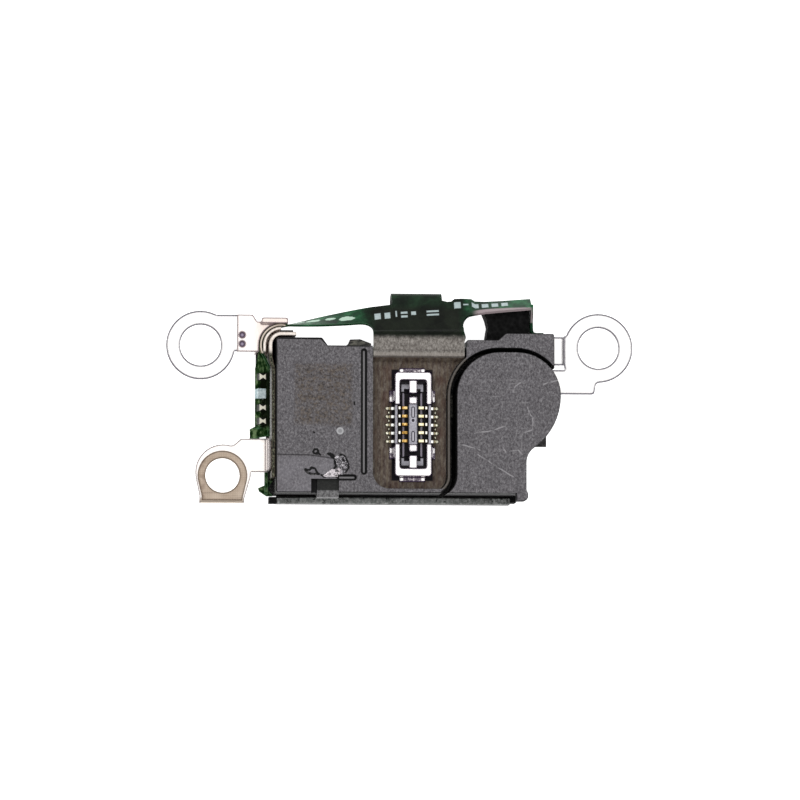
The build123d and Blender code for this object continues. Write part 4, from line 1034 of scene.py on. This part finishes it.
def make_piece(name, mesh, look, smooth=60):
    """Turns a bmesh in millimetres into a piece on the module."""
    mesh.transform(Matrix.Scale(MM, 4))
    bmesh.ops.recalc_face_normals(mesh, faces=mesh.faces)
    piece = add(name, mesh)
    piece.data.shade_smooth()
    piece.data.set_sharp_from_angle(angle=radians(smooth))
    piece.data.materials.append(look.material)
    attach(piece, "module")
    return piece


def add_bead(mesh, centre, radii, seed):
    """A flattened solder bead, wetted out at its foot and slightly uneven."""
    made = bmesh.ops.create_uvsphere(mesh, u_segments=16, v_segments=10, radius=1.0)["verts"]
    for v in made:
        flat = Vector((v.co.x, v.co.y, 0))
        foot = 1.0 + 0.25 * max(0.0, 0.35 - v.co.z) * flat.length
        wobble = 1.0 + 0.10 * noise.noise(v.co * 1.7 + Vector((seed, seed * 0.7, 0)))
        height = max(v.co.z, -0.05) * radii[2]
        spread = foot * wobble
        v.co = Vector((v.co.x * radii[0] * spread, v.co.y * radii[1] * spread, height)) + Vector(centre)


CONTACT_PITCH, CONTACT_ROWS = 0.35, 5
TAIL_X, PASTE_X = 1.045, 0.985  # from the connector's middle
FILLET, PASTE = (0.105, 0.080, 0.055), (0.055, 0.062, 0.036)


def build_solder(look):
    """Fillets at the ten contact tails, with small beads of paste between them."""
    mesh = bmesh.new()
    for side in (-1, 1):
        for i in range(CONTACT_ROWS):
            y = PLUG_Y + (i - (CONTACT_ROWS - 1) / 2) * CONTACT_PITCH
            add_bead(mesh, (PLUG_X + side * TAIL_X, y, PLUG_Z), FILLET, i + 7 * side)
            if i < CONTACT_ROWS - 1:
                middle = (PLUG_X + side * PASTE_X, y + CONTACT_PITCH / 2, PLUG_Z)
                add_bead(mesh, middle, PASTE, i + 3 * side)
    return make_piece("contact_solder", mesh, look)


def build_caps(look):
    """Folded latch ends of the clips: small plates over the ends of the connector's middle bar."""
    mesh = bmesh.new()
    for side in (-1, 1):
        made = bmesh.ops.create_cube(mesh, size=1.0)["verts"]
        place = Matrix.Translation((PLUG_X, PLUG_Y + side * 1.01, PLUG_Z + 0.515))
        bmesh.ops.transform(mesh, verts=made, matrix=place @ Matrix.Diagonal((0.37, 0.33, 0.05, 1)))
    bmesh.ops.bevel(mesh, geom=mesh.edges[:], offset=0.018, segments=3, affect="EDGES")
    return make_piece("latch_caps", mesh, look)


def crumpled(mesh, outline, level, height, scale, count=16):
    """A crumpled scrap: a fan of rings from an outline to its middle, pushed up by noise."""
    middle = sum((Vector((*p, 0)) for p in outline), Vector()) / len(outline)
    dense = []
    for a, b in zip(outline, outline[1:] + outline[:1]):
        dense += [Vector((*a, 0)).lerp(Vector((*b, 0)), i / 4) for i in range(4)]
    rings = []
    for k in range(count):
        share = k / count
        ring = []
        for p in dense:
            at = p.lerp(middle, share)
            fold = abs(noise.noise(Vector((at.x, at.y, 0.7)) * scale))
            fold += 0.6 * abs(noise.noise(Vector((at.y, at.x, 2.1)) * scale * 2.3))
            rise = 0.25 + 0.75 * min(1.0, share * 4)
            ring.append(mesh.verts.new((at.x, at.y, level + height * rise * fold)))
        rings.append(ring)
    for inner, outer in zip(rings[1:], rings):
        for i in range(len(outer)):
            j = (i + 1) % len(outer)
            mesh.faces.new([outer[i], outer[j], inner[j], inner[i]])
    mesh.faces.new(rings[-1])


TORN = [
    (-2.86, -2.66), (-2.76, -2.58), (-2.62, -2.60), (-2.50, -2.57), (-2.40, -2.66), (-2.37, -2.80),
    (-2.28, -2.92), (-2.31, -3.10), (-2.40, -3.24), (-2.52, -3.38), (-2.66, -3.39), (-2.72, -3.30),
    (-2.80, -3.22), (-2.74, -3.05), (-2.78, -2.90), (-2.82, -2.78),
]
FOLD = [
    (-3.34, -3.44), (-3.20, -3.32), (-3.06, -3.20), (-2.94, -3.13), (-2.82, -3.16), (-2.74, -3.30),
    (-2.70, -3.46), (-2.84, -3.48), (-3.02, -3.47), (-3.20, -3.48),
]
SCRAP = [
    (-4.09, -3.16), (-4.02, -3.20), (-3.94, -3.29), (-3.82, -3.34), (-3.66, -3.33), (-3.56, -3.35),
    (-3.66, -3.40), (-3.84, -3.41), (-4.00, -3.34), (-4.08, -3.25),
]


def build_residue(look):
    """What is left of a torn film above the clip."""
    mesh = bmesh.new()
    crumpled(mesh, TORN, FACE_Z, 0.11, 9.0)
    crumpled(mesh, FOLD, FACE_Z, 0.09, 4.0)
    crumpled(mesh, SCRAP, FACE_Z, 0.05, 12.0, 6)
    return make_piece("torn_film", mesh, look, smooth=35)


def residue_look():
    """Silvery torn film: pale folds, black creases and edges; the loose scraps are dark."""
    look = Look("torn_film", roughness=0.35, metallic=0.25, gloss=0.2)
    creases = look.cells(7.5, "DISTANCE_TO_EDGE")
    folds = look.noise(6.0, 3.0, 0.7, warp=0.8)
    look.colour = folds.ramp((0.36, (74, 70, 74)), (0.50, (150, 147, 152)), (0.64, (238, 234, 238)))
    look.coat(creases.rise(0.09, 0.03), (22, 19, 22))
    bright = look.window((-3.36, -3.48), (-2.60, -3.10), 0.05) * folds.rise(0.36, 0.50)
    look.coat(bright, (240, 232, 236), 0.85)
    loose = look.x.rise(-3.44, -3.50) | look.window((None, -2.74), (-2.84, None), 0.03)
    dark = folds.ramp((0.46, (4, 4, 4)), (0.66, (60, 58, 57)))
    look.coat(loose, dark, 0.9)
    return look.done(folds, 0.01, 0.6)


def fillet_look():
    """Solder fillets: cream-bright tops, olive-dark feet."""
    look = Look("solder_fillets", roughness=0.3, metallic=0.8)
    grain = look.noise(16.0, 3.0, 0.6)
    height = look.z.rise(PLUG_Z + 0.010, PLUG_Z + 0.045)
    tops = grain.ramp((0.4, (176, 172, 146)), (0.6, (250, 247, 228)))
    look.colour = look.mix(height, (74, 70, 54), tops)
    return look.done(grain, 0.005, 0.5)


# ------------------------------------------------------------------ stage


FLOOR_Z = -0.02
WHITE_LOW, WHITE_HIGH = (0.90, 0.90, 0.90, 1), (0.94, 0.94, 0.94, 1)


def build_stage():
    """White floor that glows a little, so that it stays white in the shade."""
    look = Look("floor_white", roughness=0.8)
    look.shader.inputs["Emission Color"].default_value = (1, 1, 1, 1)
    look.shader.inputs["Emission Strength"].default_value = 0.90
    white = look.noise(0.02, 2.0).ramp((0.0, WHITE_LOW), (1.0, WHITE_HIGH))
    look.connect(white, look.shader.inputs["Base Color"])
    mesh = bmesh.new()
    bmesh.ops.create_grid(mesh, x_segments=8, y_segments=8, size=1.0)
    floor = add("floor", mesh)
    floor.data.materials.append(look.material)
    floor.location.z = FLOOR_Z * MM


def area_light(name, place, size, power):
    data = bpy.data.lights.new(name, "AREA")
    data.shape, data.size, data.size_y = "RECTANGLE", size[0], size[1]
    data.energy = power
    lamp = add(name, data)
    lamp.location = place
    lamp.rotation_mode = "QUATERNION"
    lamp.rotation_quaternion = (-Vector(place)).to_track_quat("-Z", "Y")


def build_light():
    world = bpy.data.worlds.new("studio")
    world.use_nodes = True
    sky = world.node_tree.nodes["Background"]
    sky.inputs["Color"].default_value = (1.0, 1.0, 1.0, 1.0)
    sky.inputs["Strength"].default_value = 0.58
    bpy.context.scene.world = world
    area_light("overhead", (0.0, 0.0, 0.50), (0.60, 0.60), 0.86)
    area_light("key", (-0.22, 0.26, 0.40), (0.24, 0.24), 0.45)
    bpy.context.scene.view_settings.view_transform = "Standard"


CAMERA_LEAN = 0.0875  # slope of the view from straight down, towards -X and -Y
CAMERA_DISTANCE = 0.24
VIEW_WIDTH = 33.78
TARGET = (-0.083, -0.199)


def build_camera():
    data = bpy.data.cameras.new("camera")
    data.sensor_width = 36.0
    data.lens = data.sensor_width * CAMERA_DISTANCE / (VIEW_WIDTH * MM)
    data.clip_start, data.clip_end = 0.01, 10.0
    camera = add("camera", data)
    back = Vector((-CAMERA_LEAN, -CAMERA_LEAN, 1.0)).normalized()
    right = Vector((0, 1, 0)).cross(back).normalized()
    up = back.cross(right)
    turn = Matrix((right, up, back)).transposed().to_4x4()
    target = Vector((*TARGET, FACE_Z)) * MM
    camera.matrix_world = Matrix.Translation(target + back * CAMERA_DISTANCE) @ turn
    bpy.context.scene.camera = camera


# ------------------------------------------------------------------ put together

paint(front_cover_look(), "front_cover")
paint(motor_cover_look(), "motor_cover")
paint(back_cover_look(), "back_cover")
paint(foam_look("black_foam", 20, 6.0), "foam_pad", "motor_cushion")
paint(foam_look("seal_foam", 14, 9.0), "corner_seals")
paint(hold_down_look(), "hold_down_clip")
paint(steel_look("ear_steel", (253, 251, 249), (104, 101, 108), 0.18), "upper_left_ear", "right_ear")
paint(bracket_look(), "ear_bracket")
paint(lower_ear_look(), "lower_left_ear")
paint(weld_look(), "spot_welds")
paint(tape_pad_look(), "lower_ear_pad")
paint(chassis_look(), "chassis")
paint(steel_look("stiffener_steel", (190, 186, 180), (120, 116, 112)), "connector_stiffener")
flex = flex_look("flex_film", 0.08)
paint(flex, "flex_circuit")
flex_sheet = build_flex(flex)
flex_sheet.data.materials.append(flex_look("flex_film_wall", 0.0).material)
for face in flex_sheet.data.polygons:  # the left wall has a duller film
    if face.center.x < WALL_X * MM and face.center.y < WALL_Y * MM:
        face.material_index = 1
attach(flex_sheet, "module")
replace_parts(flex_sheet, "flex_circuit")
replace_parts(build_solder(fillet_look()), "solder_joints")
build_residue(residue_look())
amber = film_look("amber_tape", (16, 16, 13), (112, 110, 100), (3.2, 6.0, 1.0), outline=0.85)
paint(amber, "insulating_tape", "motor_flex")
adhesive = film_look("adhesive", (176, 168, 150), (214, 208, 196), (1.0, 1.0, 1.0), 0.6)
paint(adhesive, "flex_tape", "motor_adhesive")
paint(dark_resin_look("chip_resin", (22, 22, 24), (44, 44, 46), 0.35), "driver_chip")
paint(solder_look(), "chip_balls", "solder_joints")
paint(chip_end_look(), "panel_chip_ends")
paint(chip_body_look(), "panel_chips")
paint(film_look("capacitor_ceramic", (128, 96, 70), (168, 132, 100), (3.0, 3.0, 3.0)), "filter_capacitors")
paint(gold_look(), "signal_contacts")
paint(inner_metal_look("commutator_gold", (190, 140, 60), (240, 196, 110), 0.25), "commutator_segments")
plating = plating_look()
paint(plating, "power_clips")
build_caps(plating)
paint(insulator_look(), "connector_body")
motor_steel = inner_metal_look("motor_steel", (176, 176, 178), (214, 214, 216), 0.25)
paint(motor_steel, "motor_base", "motor_case", "motor_shaft")
paint(inner_metal_look("magnet", (96, 96, 100), (136, 136, 140), 0.4), "ring_magnet")
paint(steel_look("brush_alloy", (226, 186, 120), (150, 120, 76)), "brushes")
white_plastic = film_look("white_plastic", (214, 214, 210), (238, 238, 234), (4.0, 4.0, 4.0))
paint(white_plastic, "lower_washer", "upper_washer")
paint(inner_metal_look("sintered_bronze", (120, 84, 48), (184, 140, 92), 0.5), "rotor_bushing")
paint(film_look("board_laminate", (30, 84, 48), (60, 120, 76), (8.0, 8.0, 8.0)), "commutator_board")
paint(coil_look(), "rotor_coils")
paint(inner_metal_look("tungsten", (84, 84, 88), (126, 126, 130), 0.42), "counterweight")
paint(dark_resin_look("rotor_resin", (30, 28, 26), (58, 54, 50), 0.55), "rotor_frame")

build_stage()
build_light()
build_camera()
